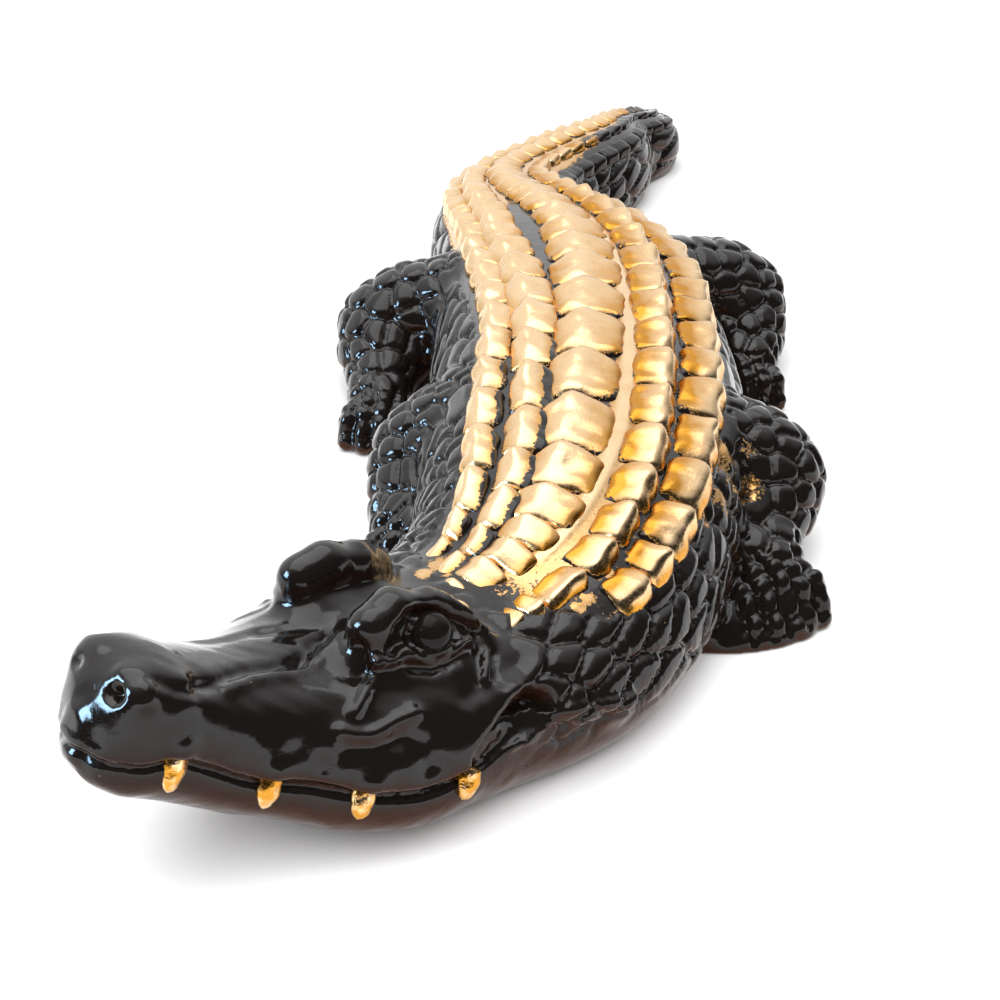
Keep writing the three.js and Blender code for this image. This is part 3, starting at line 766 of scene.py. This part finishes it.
def back_details(length, across):
    """Height of the gold band, how far inside the gold leaf a place of the skin lies, and whether
    it is among the rows"""
    half = spine_at_length(length)[2]
    size = row_size(half)
    share = across / half
    along = ramp(*STRIP["starts"], length) * ramp(ROWS_END, ROWS_END - STRIP["ends"], length)
    right, left = read_off(STRIP["right"], length), read_off(STRIP["left"], length)
    soft = STRIP["soft"]
    rows = ramp(right - soft, right + soft, share) * ramp(left + soft, left - soft, share) * along
    band_middle = np.interp(length, ROW_STATIONS, BAND["across"]) * half
    band = abs(across - band_middle) / (BAND["wide"] * size / 2)
    band_runs = ramp(*BAND["comes"], length) * ramp(*BAND["goes"], length)
    height = BAND["high"] * np.sqrt(np.clip(1 - band * band, 0, 1)) * size * band_runs
    near = {key: ramp(*AMONG_ROWS[key], length) for key in ("nape", "comes", "goes", "tail")}
    beside_band = ramp(*AMONG_ROWS["beside"], share) * near["comes"] * near["goes"]
    nearer = AMONG_ROWS["nearer"]
    on_left = nearer * ramp(*AMONG_ROWS["left"], share) * (near["nape"] + beside_band)
    between = AMONG_ROWS["outside"] + on_left + nearer * near["tail"]
    on_band = (BAND["leaf"] - band) * BAND["steep"] - BAND["fades"] * (1 - band_runs)
    inside_tail = (read_off(TAIL_LEAF["edge"], length) - share) * half * TAIL_LEAF["steep"]
    gold = np.where(length > TAIL_LEAF["starts"], np.minimum(inside_tail, TAIL_LEAF["most"]),
                    np.maximum(between, on_band))
    return height, np.where(rows > 0.5, gold, NO_LEAF), rows


def scattered(places, gap, seed):
    """Picks places that lie at least a gap apart"""
    order = np.random.default_rng(seed).permutation(len(places))
    beside = list(product((-1, 0, 1), repeat=3))
    kept = {}
    chosen = []
    for n in order:
        p = places[n]
        cell = tuple(np.floor(p / gap).astype(int))
        around = (kept.get((cell[0] + i, cell[1] + j, cell[2] + k), ()) for i, j, k in beside)
        squares = ((q[0] - p[0]) ** 2 + (q[1] - p[1]) ** 2 + (q[2] - p[2]) ** 2
                   for found in around for q in found)
        if all(square >= gap * gap for square in squares):
            kept.setdefault(cell, []).append(tuple(p))
            chosen.append(n)
    return places[chosen]


def pebbles(places, gap, seed):
    """Distance to the joint between two pebbles"""
    seeds = scattered(places, gap, seed)
    tree = KDTree(len(seeds))
    for n, place in enumerate(seeds):
        tree.insert(place, n)
    tree.balance()
    nearest = np.empty((len(places), PEBBLE["beside"]), int)
    for n, place in enumerate(places):
        nearest[n] = [found[1] for found in tree.find_n(place, PEBBLE["beside"])]
    gaps = np.linalg.norm(places[:, None] - seeds[nearest], axis=2)
    apart = np.linalg.norm(seeds[nearest[:, 1:]] - seeds[nearest[:, :1]], axis=2)
    joints = (gaps[:, 1:] ** 2 - gaps[:, :1] ** 2) / (2 * apart)
    return -PEBBLE["soft"] * np.log(np.exp(-joints / PEBBLE["soft"]).sum(1))


def fold_height(places):
    """Height of the folds of the face, for places in the head's own frame"""
    mirrored = places * np.array([1, 0, 1]) + abs(places) * np.array([0, 1, 0])
    ring = np.linalg.norm(mirrored - EYE["place"], axis=1) - EYE["radius"] - EYE_RING["away"]
    height = -EYE_RING["deep"] * np.exp(-(ring / EYE_RING["wide"]) ** 2)
    for amount, width, route in FOLDS:
        balls = np.array([(*place, 0)[:4] for place in route], float)
        reach = FOLD_REACH * width
        low, high = balls[:, :3].min(0) - reach, balls[:, :3].max(0) + reach
        near = ((mirrored > low) & (mirrored < high)).all(1)
        gap = chain_distance(*mirrored[near].T, balls, CHAIN_MELT["fold"])
        on_far_side = ramp(*FAR_FOLDS["from"], places[near, 0]) * (places[near, 1] < 0)
        far = 1 - FAR_FOLDS["fainter"] * on_far_side
        height[near] += far * amount * np.exp(-(np.maximum(gap, 0) / width) ** 2)
    return height


def lip_height(places):
    """The roll of the upper lip and the line where the jaws meet, with a bump over each tooth"""
    x, y, z = places.T
    over = z - np.interp(x, jaws[:, 0], jaws[:, 3])
    along = ramp(*LIP["forward"], x) * ramp(*LIP["up"], z)
    roll = LIP["high"] * np.exp(-((over - LIP["over"]) / LIP["wide"]) ** 2)
    line = LIP["deep"] * np.exp(-((over + LIP["below"]) / LIP["line"]) ** 2)
    height = (roll - line) * along
    long, high = LIP["bump_size"]
    for tooth_x, _, root, _ in TEETH:
        gap = np.hypot((x - tooth_x) / long, (z - root - LIP["bump_over"]) / high)
        height += LIP["bump"] * np.exp(-gap ** 2) * (abs(y) > LIP["out"])
    return height


def finger_height(corners, normals):
    """Grooves between the fingers and knobs along them, and how far a place is part of a foot"""
    height = np.zeros(len(corners))
    foot = np.zeros(len(corners))
    for limb in LIMBS:
        x, y, z, radius = limb["joints"][-1]
        around = radius + FINGER["around"] * limb["reach"]
        near = np.hypot(corners[:, 0] - x, corners[:, 1] - y) < around
        near &= corners[:, 2] < z + radius
        heading = math.radians(limb["fingers"])
        beside = corners[near, :2] - (x, y)
        along = beside @ (math.cos(heading), math.sin(heading))
        across = beside @ (-math.sin(heading), math.cos(heading))
        stagger = FINGER["stagger"] * np.floor(across / FINGER["wide"])
        knob = abs(np.sin(math.pi * (along / FINGER["pitch"] + stagger))) - FINGER["knob_level"]
        finger = np.sqrt(abs(np.sin(math.pi * across / FINGER["wide"]))) - FINGER["groove_level"]
        foot[near] = ramp(*FINGER["starts"], along)
        on_top = ramp(*FINGER["facing"], normals[near, 2])
        height[near] = (FINGER["knob"] * knob + FINGER["groove"] * finger) * on_top
    return height, foot


def carve(corners, faces):
    """Lifts and sinks the plain skin into pebbles, fingers, folds, lips and the band, and marks
    how far inside the gold leaf each corner lies"""
    normals = corner_normals(corners, faces)
    length, across, past = beside_spine(corners[:, 0], corners[:, 1])
    trunk = trunk_distance(length, across, past, corners[:, 2])
    places = into_head(corners)
    head = head_distance(*places.T)
    limbs = np.min([chain_distance(*corners.T, limb_chain(limb), CHAIN_MELT["limb"])
                    for limb in LIMBS], 0)
    toes = np.min([chain_distance(*corners.T, toe) for limb in LIMBS for toe in toe_chains(limb)], 0)
    fingers, on_foot = finger_height(corners, normals)

    out_of_trunk = ramp(*FADE["trunk"], np.minimum(trunk, limbs) - head)
    on_head = out_of_trunk * ramp(*FADE["head"], places[:, 0])
    smooth = out_of_trunk * ramp(*FADE["collar"], places[:, 0] - read_off(COLLAR, places[:, 2]))
    on_limb = ramp(*FADE["limb"], np.minimum(trunk, head) - np.minimum(limbs, toes))
    on_trunk = (1 - on_head) * (1 - on_limb)
    on_foot *= on_limb

    band, gold, rows = back_details(length, across)
    on_top = on_trunk * ramp(*FADE["back"], normals[:, 2])
    height = band * on_top
    gold = np.where(on_top > FADE["leaf"], gold, NO_LEAF)
    for x, y, radius, thickness in LOOSE_LEAF:
        patch = 1 - np.hypot(corners[:, 0] - x, corners[:, 1] - y) / radius
        loose = np.clip(patch * LOOSE["steep"], -1, 1) * thickness - LOOSE["torn"]
        gold = np.where(corners[:, 2] > LOOSE["above"], np.maximum(gold, loose), gold)

    packed = 1 - HIDE["longer"] * ramp(*HIDE["tail"], length)
    flank = np.column_stack([length * packed - HIDE["slant"] * corners[:, 2], across, corners[:, 2]])
    spread = np.where(on_limb[:, None] > 0.5, corners + HIDE["limb_apart"], flank)
    bare = (corners[:, 2] > HIDE["above"]) & (rows * on_top < 0.5) & (smooth < FADE["smooth"])
    joint = pebbles(spread[bare], PEBBLE["gap"], PEBBLE["seed"])
    inward = 1 - np.clip(joint / PEBBLE["joint"], 0, 1)
    cobble = PEBBLE["high"] * np.sqrt(1 - inward * inward) - PEBBLE["deep"]
    throat = ramp(*HIDE["throat_ends"], length[bare]) * (1 - on_limb[bare])
    low = ramp(*HIDE["grows"], corners[bare, 2] - HIDE["throat"] * throat)
    height[bare] += cobble * (1 - on_foot[bare]) * low * (1 - smooth[bare])
    height += fingers * on_foot

    height += (fold_height(places) + lip_height(places)) * on_head
    near_side = FAR_WAVES["share"] + (1 - FAR_WAVES["share"]) * ramp(*FAR_WAVES["grow"], places[:, 1])
    waves = sum(high * wave(corners, size, seed) for high, size, seed in HEAD_WAVES)
    height += waves * on_head * near_side
    return corners + normals * height[:, None], gold


def mesh_object(name, corners, faces, **values):
    """A smooth mesh object from corners on the plan"""
    mesh = bpy.data.meshes.new(name)
    mesh.vertices.add(len(corners))
    placed = (corners - CENTRE) * MM
    mesh.vertices.foreach_set("co", placed.astype(np.float32).ravel())
    sides = faces.shape[1]
    mesh.loops.add(faces.size)
    mesh.loops.foreach_set("vertex_index", faces.astype(np.int32).ravel())
    mesh.polygons.add(len(faces))
    mesh.polygons.foreach_set("loop_start", np.arange(0, faces.size, sides, dtype=np.int32))
    for key, value in values.items():
        marks = mesh.attributes.new(key, "FLOAT", "POINT")
        marks.data.foreach_set("value", value.astype(np.float32))
    mesh.update(calc_edges=True)
    mesh.validate()
    mesh.shade_smooth()
    piece = bpy.data.objects.new(name, mesh)
    bpy.context.scene.collection.objects.link(piece)
    return piece


def joined(parts):
    """Corners and faces of several forms as one"""
    corners = []
    faces = []
    for part_corners, part_faces in parts:
        faces.append(part_faces + sum(map(len, corners)))
        corners.append(part_corners)
    return np.concatenate(corners), np.concatenate(faces)


def finish_piece(piece, finish):
    """Lays a finish on a piece and makes it part of the casting"""
    piece.data.materials.append(finish)
    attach(piece, "root")
    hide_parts("crocodile")


def inside_box(corners):
    """Corners held inside the box of the solid, eased off towards its sides and its top"""
    ease = BOX["ease"]
    over = np.maximum(corners - BOX_HIGH + ease, 0)
    under = np.maximum(BOX_LOW + ease - corners, 0) * (1, 1, 0)
    corners = corners - over + ease * np.tanh(over / ease) + under - ease * np.tanh(under / ease)
    return np.clip(corners, BOX_LOW + BOX["inside"], BOX_HIGH - BOX["inside"])


# Materials

class Wire:
    """An output of a node, or a number, that Python's own arithmetic works on"""

    def __init__(self, paint, value):
        self.paint = paint
        self.value = value

    def maths(self, operation, *others):
        """The result of one operation on this and other values"""
        inputs = dict(enumerate((self, *others)))
        return self.paint.node("ShaderNodeMath", {"operation": operation}, inputs)

    def __add__(self, other):
        return self.maths("ADD", other)

    def __radd__(self, other):
        return self.maths("ADD", other)

    def __sub__(self, other):
        return self.maths("SUBTRACT", other)

    def __rsub__(self, other):
        return Wire(self.paint, other).maths("SUBTRACT", self)

    def __mul__(self, other):
        return self.maths("MULTIPLY", other)

    def __rmul__(self, other):
        return self.maths("MULTIPLY", other)

    def clamped(self):
        """Held between 0 and 1"""
        return self.maths("MINIMUM", 1.0).maths("MAXIMUM", 0.0)

    def steep(self, low, high):
        """0 below low, 1 above high"""
        return ((self - low) * (1 / (high - low))).clamped()


class Paint:
    """A material or a world under construction"""

    def __init__(self, made, shader="Principled BSDF"):
        self.made = made
        made.use_nodes = True
        self.tree = made.node_tree
        self.shader = self.tree.nodes[shader]

    def node(self, kind, settings=None, inputs=None, output=0):
        """One output of a new node, whose settings are set first and then its sockets"""
        made = self.tree.nodes.new(kind)
        for key, value in (settings or {}).items():
            setattr(made, key, value)
        for key, value in (inputs or {}).items():
            value = value.value if isinstance(value, Wire) else value
            if isinstance(value, bpy.types.NodeSocket):
                self.tree.links.new(value, made.inputs[key])
            else:
                made.inputs[key].default_value = value
        return Wire(self, made.outputs[output])

    def place(self):
        """Places on the piece itself"""
        return self.node("ShaderNodeTexCoord", output="Object")

    def noise(self, size, detail=3.0, roughness=0.55):
        """Clouds or grain of a size in millimetres"""
        inputs = {"Vector": self.place(), "Scale": 1 / (size * MM), "Detail": detail,
                  "Roughness": roughness}
        return self.node("ShaderNodeTexNoise", {}, inputs, "Fac")

    def cells(self, size):
        """Distance to the middle of the nearest cell, as a share of the size"""
        inputs = {"Vector": self.place(), "Scale": 1 / (size * MM)}
        return self.node("ShaderNodeTexVoronoi", {}, inputs, "Distance")

    def along_z(self, kind, output):
        """The upward share of a vector that a node gives out"""
        vector = self.node(kind, output=output)
        return self.node("ShaderNodeSeparateXYZ", {}, {"Vector": vector}, "Z")

    def height(self):
        """Height over the table in millimetres"""
        return self.along_z("ShaderNodeTexCoord", "Object") * (1 / MM)

    def mix(self, share, a, b):
        """A blend from one colour to another"""
        return self.node("ShaderNodeMix", {"data_type": "RGBA"}, {"Factor": share, 6: a, 7: b}, 2)

    def attribute(self, name):
        """A mark that the mesh carries"""
        return self.node("ShaderNodeAttribute", {"attribute_name": name}, {}, "Fac")

    def bump(self, height, distance, strength=1.0):
        """Bumps of a height in millimetres"""
        inputs = {"Height": height, "Distance": distance * MM, "Strength": strength}
        return self.node("ShaderNodeBump", {}, inputs, "Normal")

    def feed(self, **sockets):
        """Links or sets sockets of the shader"""
        for name, value in sockets.items():
            socket = self.shader.inputs[name.replace("_", " ")]
            if isinstance(value, Wire):
                self.tree.links.new(value.value, socket)
            else:
                socket.default_value = value


def opaque(colour):
    """A colour with nothing see-through"""
    return (*colour, 1.0)


def lacquer_and_leaf(look):
    """Gloss black lacquer with ragged gold leaf where the mesh is marked for it, with painted shade on
    the gold and a painted reflection of a warm table low on the lacquer
    """
    paint = Paint(bpy.data.materials.new("lacquer and gold leaf"))
    inside = paint.attribute("leaf")
    facing_up = paint.along_z("ShaderNodeNewGeometry", "Normal")
    noise = {name: paint.noise(*values) for name, values in NOISE.items()}
    grain, cloudy = noise["grain"], noise["cloudy"]
    tear = (noise["torn"] - 0.5) * TEAR["torn"] + (noise["frayed"] - 0.5) * TEAR["frayed"]
    specks = 1.0 - paint.cells(DUST["cell"]).steep(*DUST["grain"])
    dust = specks * noise["dusted"].steep(*DUST["clouds"]) * facing_up.steep(*DUST["facing"])
    leaf = (inside + tear * look.wear).steep(*TEAR["edge"]).maths("MAXIMUM", dust)
    # Painted shade: the gold deepens towards the rim of the leaf and on the marked flanks of the
    # scutes; the clouds are its uneven tone
    gold_shade_and_tone = ((1.0 - inside.steep(*GOLD_SHADE_AND_TONE["rim"])) * GOLD_SHADE_AND_TONE["at_rim"]
              + cloudy.steep(*GOLD_SHADE_AND_TONE["clouds"]) * GOLD_SHADE_AND_TONE["in_clouds"]
              + paint.attribute("deep") * (cloudy + GOLD_SHADE_AND_TONE["marked"])).clamped()
    gold = paint.mix(gold_shade_and_tone, opaque(look.gold), opaque(look.gold_shade_and_patina))
    crumpled = grain * BUMP["grain"] + noise["creased"]
    uneven = (noise["hammered"] * BUMP["hammered"] + noise["dimpled"] * BUMP["dimpled"]
              + noise["swelling"] * BUMP["swelling"])
    # Painted reflection of a warm table: low down and where it faces down, the lacquer turns brown and
    # metallic
    near_table = PAINTED_WARM_REFLECTION["most"] - (paint.height() * PAINTED_WARM_REFLECTION["each_mm"]).clamped()
    low = (near_table * (1.0 - facing_up.steep(*PAINTED_WARM_REFLECTION["facing"]))).clamped()
    lacquer = paint.mix(low, opaque(look.lacquer), opaque(look.painted_table_reflection))
    paint.feed(
        IOR=look.lacquer_ior,
        Base_Color=paint.mix(leaf, lacquer, gold),
        Coat_Weight=(1.0 - leaf) * facing_up.steep(*POLISH["facing"]) * POLISH["weight"],
        Coat_Roughness=look.lacquer_roughness,
        Coat_IOR=look.polish_ior,
        Metallic=leaf.maths("MAXIMUM", low),
        Roughness=leaf * (look.gold_roughness - look.lacquer_roughness) + look.lacquer_roughness
        + leaf * (grain - 0.5) * GRAIN_ROUGHNESS,
        Normal=paint.bump(leaf * crumpled + (1.0 - leaf) * uneven, BUMP["high"], BUMP["strength"]),
    )
    return paint.made


def gold_leaf(look):
    """Gold leaf laid on thick over a tooth"""
    paint = Paint(bpy.data.materials.new("gold leaf on teeth"))
    patina = paint.noise(*TOOTH_GOLD["patina_noise"]).steep(*TOOTH_GOLD["patina"])
    glossiest = look.gold_roughness - TOOTH_GOLD["glossier"]
    paint.feed(
        Base_Color=paint.mix(patina, opaque(look.gold), opaque(look.gold_shade_and_patina)),
        Metallic=1.0,
        Roughness=paint.noise(*TOOTH_GOLD["gloss_noise"]) * TOOTH_GOLD["uneven"] + glossiest,
        Normal=paint.bump(paint.noise(*TOOTH_GOLD["bump_noise"]), TOOTH_GOLD["high"],
                          TOOTH_GOLD["strength"]),
    )
    return paint.made


def eye_lacquer(look):
    """The glossiest lacquer, on the balls of the eyes"""
    paint = Paint(bpy.data.materials.new("eye lacquer"))
    glossiest = look.lacquer_roughness * EYE_GLOSS["share"]
    paint.feed(
        IOR=look.lacquer_ior,
        Base_Color=opaque(look.lacquer),
        Roughness=paint.noise(*EYE_GLOSS["noise"]) * EYE_GLOSS["uneven"] + glossiest,
    )
    return paint.made


def pale_floor(look):
    """The matt, even floor"""
    paint = Paint(bpy.data.materials.new("pale floor"))
    paint.feed(Base_Color=opaque(look.floor), Roughness=FLOOR["roughness"])
    return paint.made


# What a user can change

class CrocodileShape(bpy.types.PropertyGroup):
    """Sizes of the carving"""
    step: FloatProperty(name="Step", description="Distance between corners of the skin",
                        default=0.75 * MM, min=0.5 * MM, max=3 * MM, subtype="DISTANCE", unit="LENGTH")
    relief: FloatProperty(name="Relief", description="How high the scutes stand, as a share",
                          default=1.0, min=0.0, max=1.0)
    most_faces: IntProperty(name="Most faces", description="Most triangles of the skin",
                            default=195000, min=20000)
    tooth: FloatProperty(name="Tooth", description="Length of a tooth",
                         default=6.8 * MM, subtype="DISTANCE", unit="LENGTH")
    eye: FloatProperty(name="Eye", description="Radius of an eye",
                       default=EYE["radius"] * MM, subtype="DISTANCE", unit="LENGTH")


class CrocodileLook(bpy.types.PropertyGroup):
    """Colours and gloss"""
    lacquer: FloatVectorProperty(name="Lacquer", description="Colour of the black lacquer",
                                 default=(0.0065, 0.005, 0.0045), subtype="COLOR", size=3)
    # Colour of the painted reflection of a warm table, low on the lacquer
    painted_table_reflection: FloatVectorProperty(name="Warm lacquer", description="Colour of the lacquer low down",
                                      default=(0.07, 0.026, 0.013), subtype="COLOR", size=3)
    lacquer_ior: FloatProperty(name="Lacquer IOR", description="How strongly the lacquer mirrors",
                               default=1.24, min=1.0, max=2.0)
    polish_ior: FloatProperty(name="Polish IOR", description="How strongly polished upper faces mirror",
                              default=1.5, min=1.0, max=2.0)
    lacquer_roughness: FloatProperty(name="Lacquer roughness", description="0 is a mirror",
                                     default=0.1, min=0.0, max=1.0)
    gold: FloatVectorProperty(name="Gold", description="Colour of bright gold leaf",
                              default=(0.95, 0.69, 0.41), subtype="COLOR", size=3)
    # Colour of the painted shade on the gold leaf, and of the patina on the teeth
    gold_shade_and_patina: FloatVectorProperty(name="Deep gold", description="Colour of worn gold leaf",
                                   default=(0.62, 0.28, 0.035), subtype="COLOR", size=3)
    gold_roughness: FloatProperty(name="Gold roughness", description="0 is a mirror",
                                  default=0.25, min=0.0, max=1.0)
    wear: FloatProperty(name="Wear", description="How ragged the edges of the gold leaf are",
                        default=0.8, min=0.0, max=2.0)
    floor: FloatVectorProperty(name="Floor", description="Colour of the floor",
                               default=(0.9, 0.9, 0.9), subtype="COLOR", size=3)


# The pieces

class CROCODILE_OT_casting(bpy.types.Operator):
    """Model the casting: trunk, tail, head and limbs in one skin"""
    bl_idname = "crocodile.casting"
    bl_label = "Casting"

    def execute(self, context):
        shape = context.scene.crocodile_shape
        step = shape.step / MM * 1
        corners, faces = plain_skin(step)
        if not len(faces):
            raise RuntimeError("the casting has no skin")
        corners, gold = carve(eased(corners, faces, **EASING), faces)
        piece = mesh_object("casting", inside_box(corners), faces, leaf=gold)
        thinned = piece.modifiers.new("thinned", "DECIMATE")
        thinned.ratio = min(1, shape.most_faces / (2 * len(faces)))
        thinned_piece = piece.evaluated_get(context.evaluated_depsgraph_get())
        skin = bpy.data.meshes.new_from_object(thinned_piece)
        piece.modifiers.clear()
        piece.data = skin
        finish_piece(piece, lacquer_and_leaf(context.scene.crocodile_look))
        return {"FINISHED"}


class CROCODILE_OT_scutes(bpy.types.Operator):
    """Model the rows of keeled scutes on the back and the tail"""
    bl_idname = "crocodile.scutes"
    bl_label = "Scutes"

    def execute(self, context):
        relief = context.scene.crocodile_shape.relief
        rows, columns = SCUTE["rows"], SCUTE["columns"]
        number = np.arange(rows * columns).reshape(rows, columns)
        ring = (number[:-1, :-1], number[:-1, 1:], number[1:, 1:], number[1:, :-1])
        grid = np.stack(ring, -1).reshape(-1, 4)
        scutes = [scute_grid(row, start, end - start, relief)
                  for row in ROWS for start, end in pairwise(row_starts(row))]
        corners, faces = joined((placed.reshape(-1, 3), grid) for placed, _, _ in scutes)
        # The deep marks carry the painted shade on the flanks of the scutes
        piece = mesh_object("scutes", inside_box(corners), faces,
                            leaf=np.concatenate([leaf.ravel() for _, leaf, _ in scutes]),
                            deep=np.concatenate([deep.ravel() for _, _, deep in scutes]))
        finish_piece(piece, bpy.data.materials["lacquer and gold leaf"])
        return {"FINISHED"}


def tooth_rings(x, out, root, length):
    """Rings of a blunt, knobbly tooth that leans forward, from root to tip, in the head's own frame"""
    rings = []
    inset, rooted = TOOTH["inset"], TOOTH["rooted"]
    angle = np.arange(TOOTH["sides"]) / TOOTH["sides"] * 2 * math.pi
    for i in range(TOOTH["rings"]):
        t = i / (TOOTH["rings"] - 1)
        point = math.sqrt(max(1 - t ** TOOTH["blunt"], TOOTH["tip"]))
        radius = TOOTH["radius"] * point * (TOOTH["slim"] + TOOTH["belly"] * t * (1 - t))
        middle = np.array([x + TOOTH["lean"] * t, out - inset + inset * t,
                           root + rooted - (length + rooted) * t])
        around = np.sin(TOOTH["lobes"] * angle + TOOTH["twist"] * t + x)
        knob = 1 + TOOTH["knobs"] * around * np.sin(TOOTH["bulges"] * t + out)
        ring = np.column_stack([knob * np.cos(angle), TOOTH["thin"] * knob * np.sin(angle),
                                TOOTH["slant"] * np.cos(angle)])
        rings.append(middle + radius * ring)
    return np.array(rings)


def closed_tube(rings):
    """Corners and four-sided faces of a tube over rings of corners, with a fan over each end"""
    count, sides = rings.shape[:2]
    corners = np.concatenate([rings.reshape(-1, 3), rings[[0, -1]].mean(1)])
    ring = np.arange(sides)
    beside = (ring + 1) % sides
    wall = np.stack([ring, ring + sides, beside + sides, beside], 1)
    faces = [wall + i * sides for i in range(count - 1)]
    start, end = count * sides, count * sides + 1
    last = (count - 1) * sides
    for k in range(0, sides, 2):
        beyond = (k + 2) % sides
        faces.append([(start, k, k + 1, beyond), (end, last + beyond, last + k + 1, last + k)])
    return corners, np.concatenate(faces)


class CROCODILE_OT_teeth(bpy.types.Operator):
    """Model the four teeth on each side that hang over the lower jaw"""
    bl_idname = "crocodile.teeth"
    bl_label = "Teeth"

    def execute(self, context):
        length = context.scene.crocodile_shape.tooth / MM
        teeth = []
        for x, out, root, share in TEETH:
            for side in (1, -1):
                corners, faces = closed_tube(tooth_rings(x, out, root, length * share) * (1, side, 1))
                teeth.append((from_head(corners), faces[:, ::side]))
        piece = mesh_object("teeth", *joined(teeth))
        finish_piece(piece, gold_leaf(context.scene.crocodile_look))
        return {"FINISHED"}


class CROCODILE_OT_eyes(bpy.types.Operator):
    """Model the balls of the eyes"""
    bl_idname = "crocodile.eyes"
    bl_label = "Eyes"

    def execute(self, context):
        radius = context.scene.crocodile_shape.eye / MM
        sides = EYE["sides"]
        turn = np.linspace(EYE["pole"], math.pi - EYE["pole"], EYE["rings"])
        angle = np.arange(sides) / sides * 2 * math.pi
        rings = np.stack([np.outer(np.sin(turn), np.cos(angle)), np.outer(np.sin(turn), np.sin(angle)),
                          np.outer(np.cos(turn), np.ones(sides))], -1)
        eyes = []
        for side in (1, -1):
            corners, faces = closed_tube(rings * radius + np.array(EYE["place"]) * (1, side, 1))
            eyes.append((from_head(corners), faces))
        piece = mesh_object("eyes", *joined(eyes))
        finish_piece(piece, eye_lacquer(context.scene.crocodile_look))
        return {"FINISHED"}


def soft_room():
    """A studio that is pale above and behind the piece and dark in front of it"""
    room = Paint(bpy.data.worlds.new("room"), "Background")
    way = room.node("ShaderNodeTexCoord", output="Generated")
    towards = room.node("ShaderNodeVectorMath", {"operation": "DOT_PRODUCT"},
                        {0: way, 1: ROOM["pale_way"]}, "Value")
    ends = zip(("From Min", "From Max", "To Min", "To Max"), (*ROOM["turns_pale"], *ROOM["brightness"]))
    shade = room.node("ShaderNodeMapRange", {"interpolation_type": "SMOOTHSTEP"},
                      {"Value": towards, **dict(ends)}, "Result")
    room.feed(Color=opaque((1, 1, 1)), Strength=shade)
    return room.made


def soft_light(name, place, target, size, power, colour=(1, 1, 1), diffuse=True, glossy=True):
    """A rectangular light that faces a target"""
    data = bpy.data.lights.new(name, "AREA")
    data.shape = "RECTANGLE"
    data.size, data.size_y = size
    data.energy = power
    data.color = colour
    light = bpy.data.objects.new(name, data)
    light.location = place
    facing = Vector(target) - Vector(place)
    light.rotation_euler = facing.to_track_quat("-Z", "Y").to_euler()
    light.visible_diffuse = diffuse
    light.visible_glossy = glossy
    bpy.context.scene.collection.objects.link(light)
    return light


class CROCODILE_OT_stage(bpy.types.Operator):
    """Set up the floor, the lights and the camera"""
    bl_idname = "crocodile.stage"
    bl_label = "Stage"

    def execute(self, context):
        scene = context.scene
        look = scene.crocodile_look
        half = FLOOR["half"]
        floor = bpy.data.meshes.new("floor")
        floor.from_pydata([(-half, -half, 0), (half, -half, 0), (half, half, 0), (-half, half, 0)], [],
                          [(0, 1, 2, 3)])
        floor.materials.append(pale_floor(look))
        ground = bpy.data.objects.new("floor", floor)
        scene.collection.objects.link(ground)

        for name, light in LIGHTS.items():
            soft_light(name, **light)
        scene.world = soft_room()
        scene.view_settings.view_transform = "Standard"

        forward = Vector((0, math.cos(CAMERA["down"]), -math.sin(CAMERA["down"])))
        up = Vector((0, math.sin(CAMERA["down"]), math.cos(CAMERA["down"])))
        right = Vector((1, 0, 0))
        tilt = CAMERA["tilt"]
        turned_right = right * math.cos(tilt) + up * math.sin(tilt)
        turned_up = up * math.cos(tilt) - right * math.sin(tilt)
        data = bpy.data.cameras.new("camera")
        data.sensor_width = CAMERA["film"]
        data.lens = CAMERA["lens"]
        data.clip_start = CAMERA["clip"]
        camera = bpy.data.objects.new("camera", data)
        turn = Matrix((turned_right, turned_up, -forward)).transposed().to_4x4()
        camera.matrix_world = Matrix.Translation(CAMERA["place"]) @ turn
        scene.collection.objects.link(camera)
        scene.camera = camera
        return {"FINISHED"}


class CROCODILE_PT_sidebar(bpy.types.Panel):
    """The crocodile's pieces and settings"""
    bl_label = "Crocodile"
    bl_idname = "CROCODILE_PT_sidebar"
    bl_space_type = "VIEW_3D"
    bl_region_type = "UI"
    bl_category = "Crocodile"

    def draw(self, context):
        for operator in OPERATORS:
            self.layout.operator(operator.bl_idname)
        for group in (context.scene.crocodile_shape, context.scene.crocodile_look):
            for name in group.__annotations__:
                self.layout.prop(group, name)


GROUPS = (CrocodileShape, CrocodileLook)
OPERATORS = (
    CROCODILE_OT_casting, CROCODILE_OT_scutes, CROCODILE_OT_teeth, CROCODILE_OT_eyes,
    CROCODILE_OT_stage,
)
CLASSES = (*GROUPS, *OPERATORS, CROCODILE_PT_sidebar)


def register():
    for cls in CLASSES:
        bpy.utils.register_class(cls)
    bpy.types.Scene.crocodile_shape = PointerProperty(type=CrocodileShape)
    bpy.types.Scene.crocodile_look = PointerProperty(type=CrocodileLook)


def unregister():
    del bpy.types.Scene.crocodile_look
    del bpy.types.Scene.crocodile_shape
    for cls in reversed(CLASSES):
        bpy.utils.unregister_class(cls)


def main():
    register()
    bpy.ops.crocodile.casting()
    bpy.ops.crocodile.scutes()
    bpy.ops.crocodile.teeth()
    bpy.ops.crocodile.eyes()
    bpy.ops.crocodile.stage()


if __name__ == "__main__":
    main()
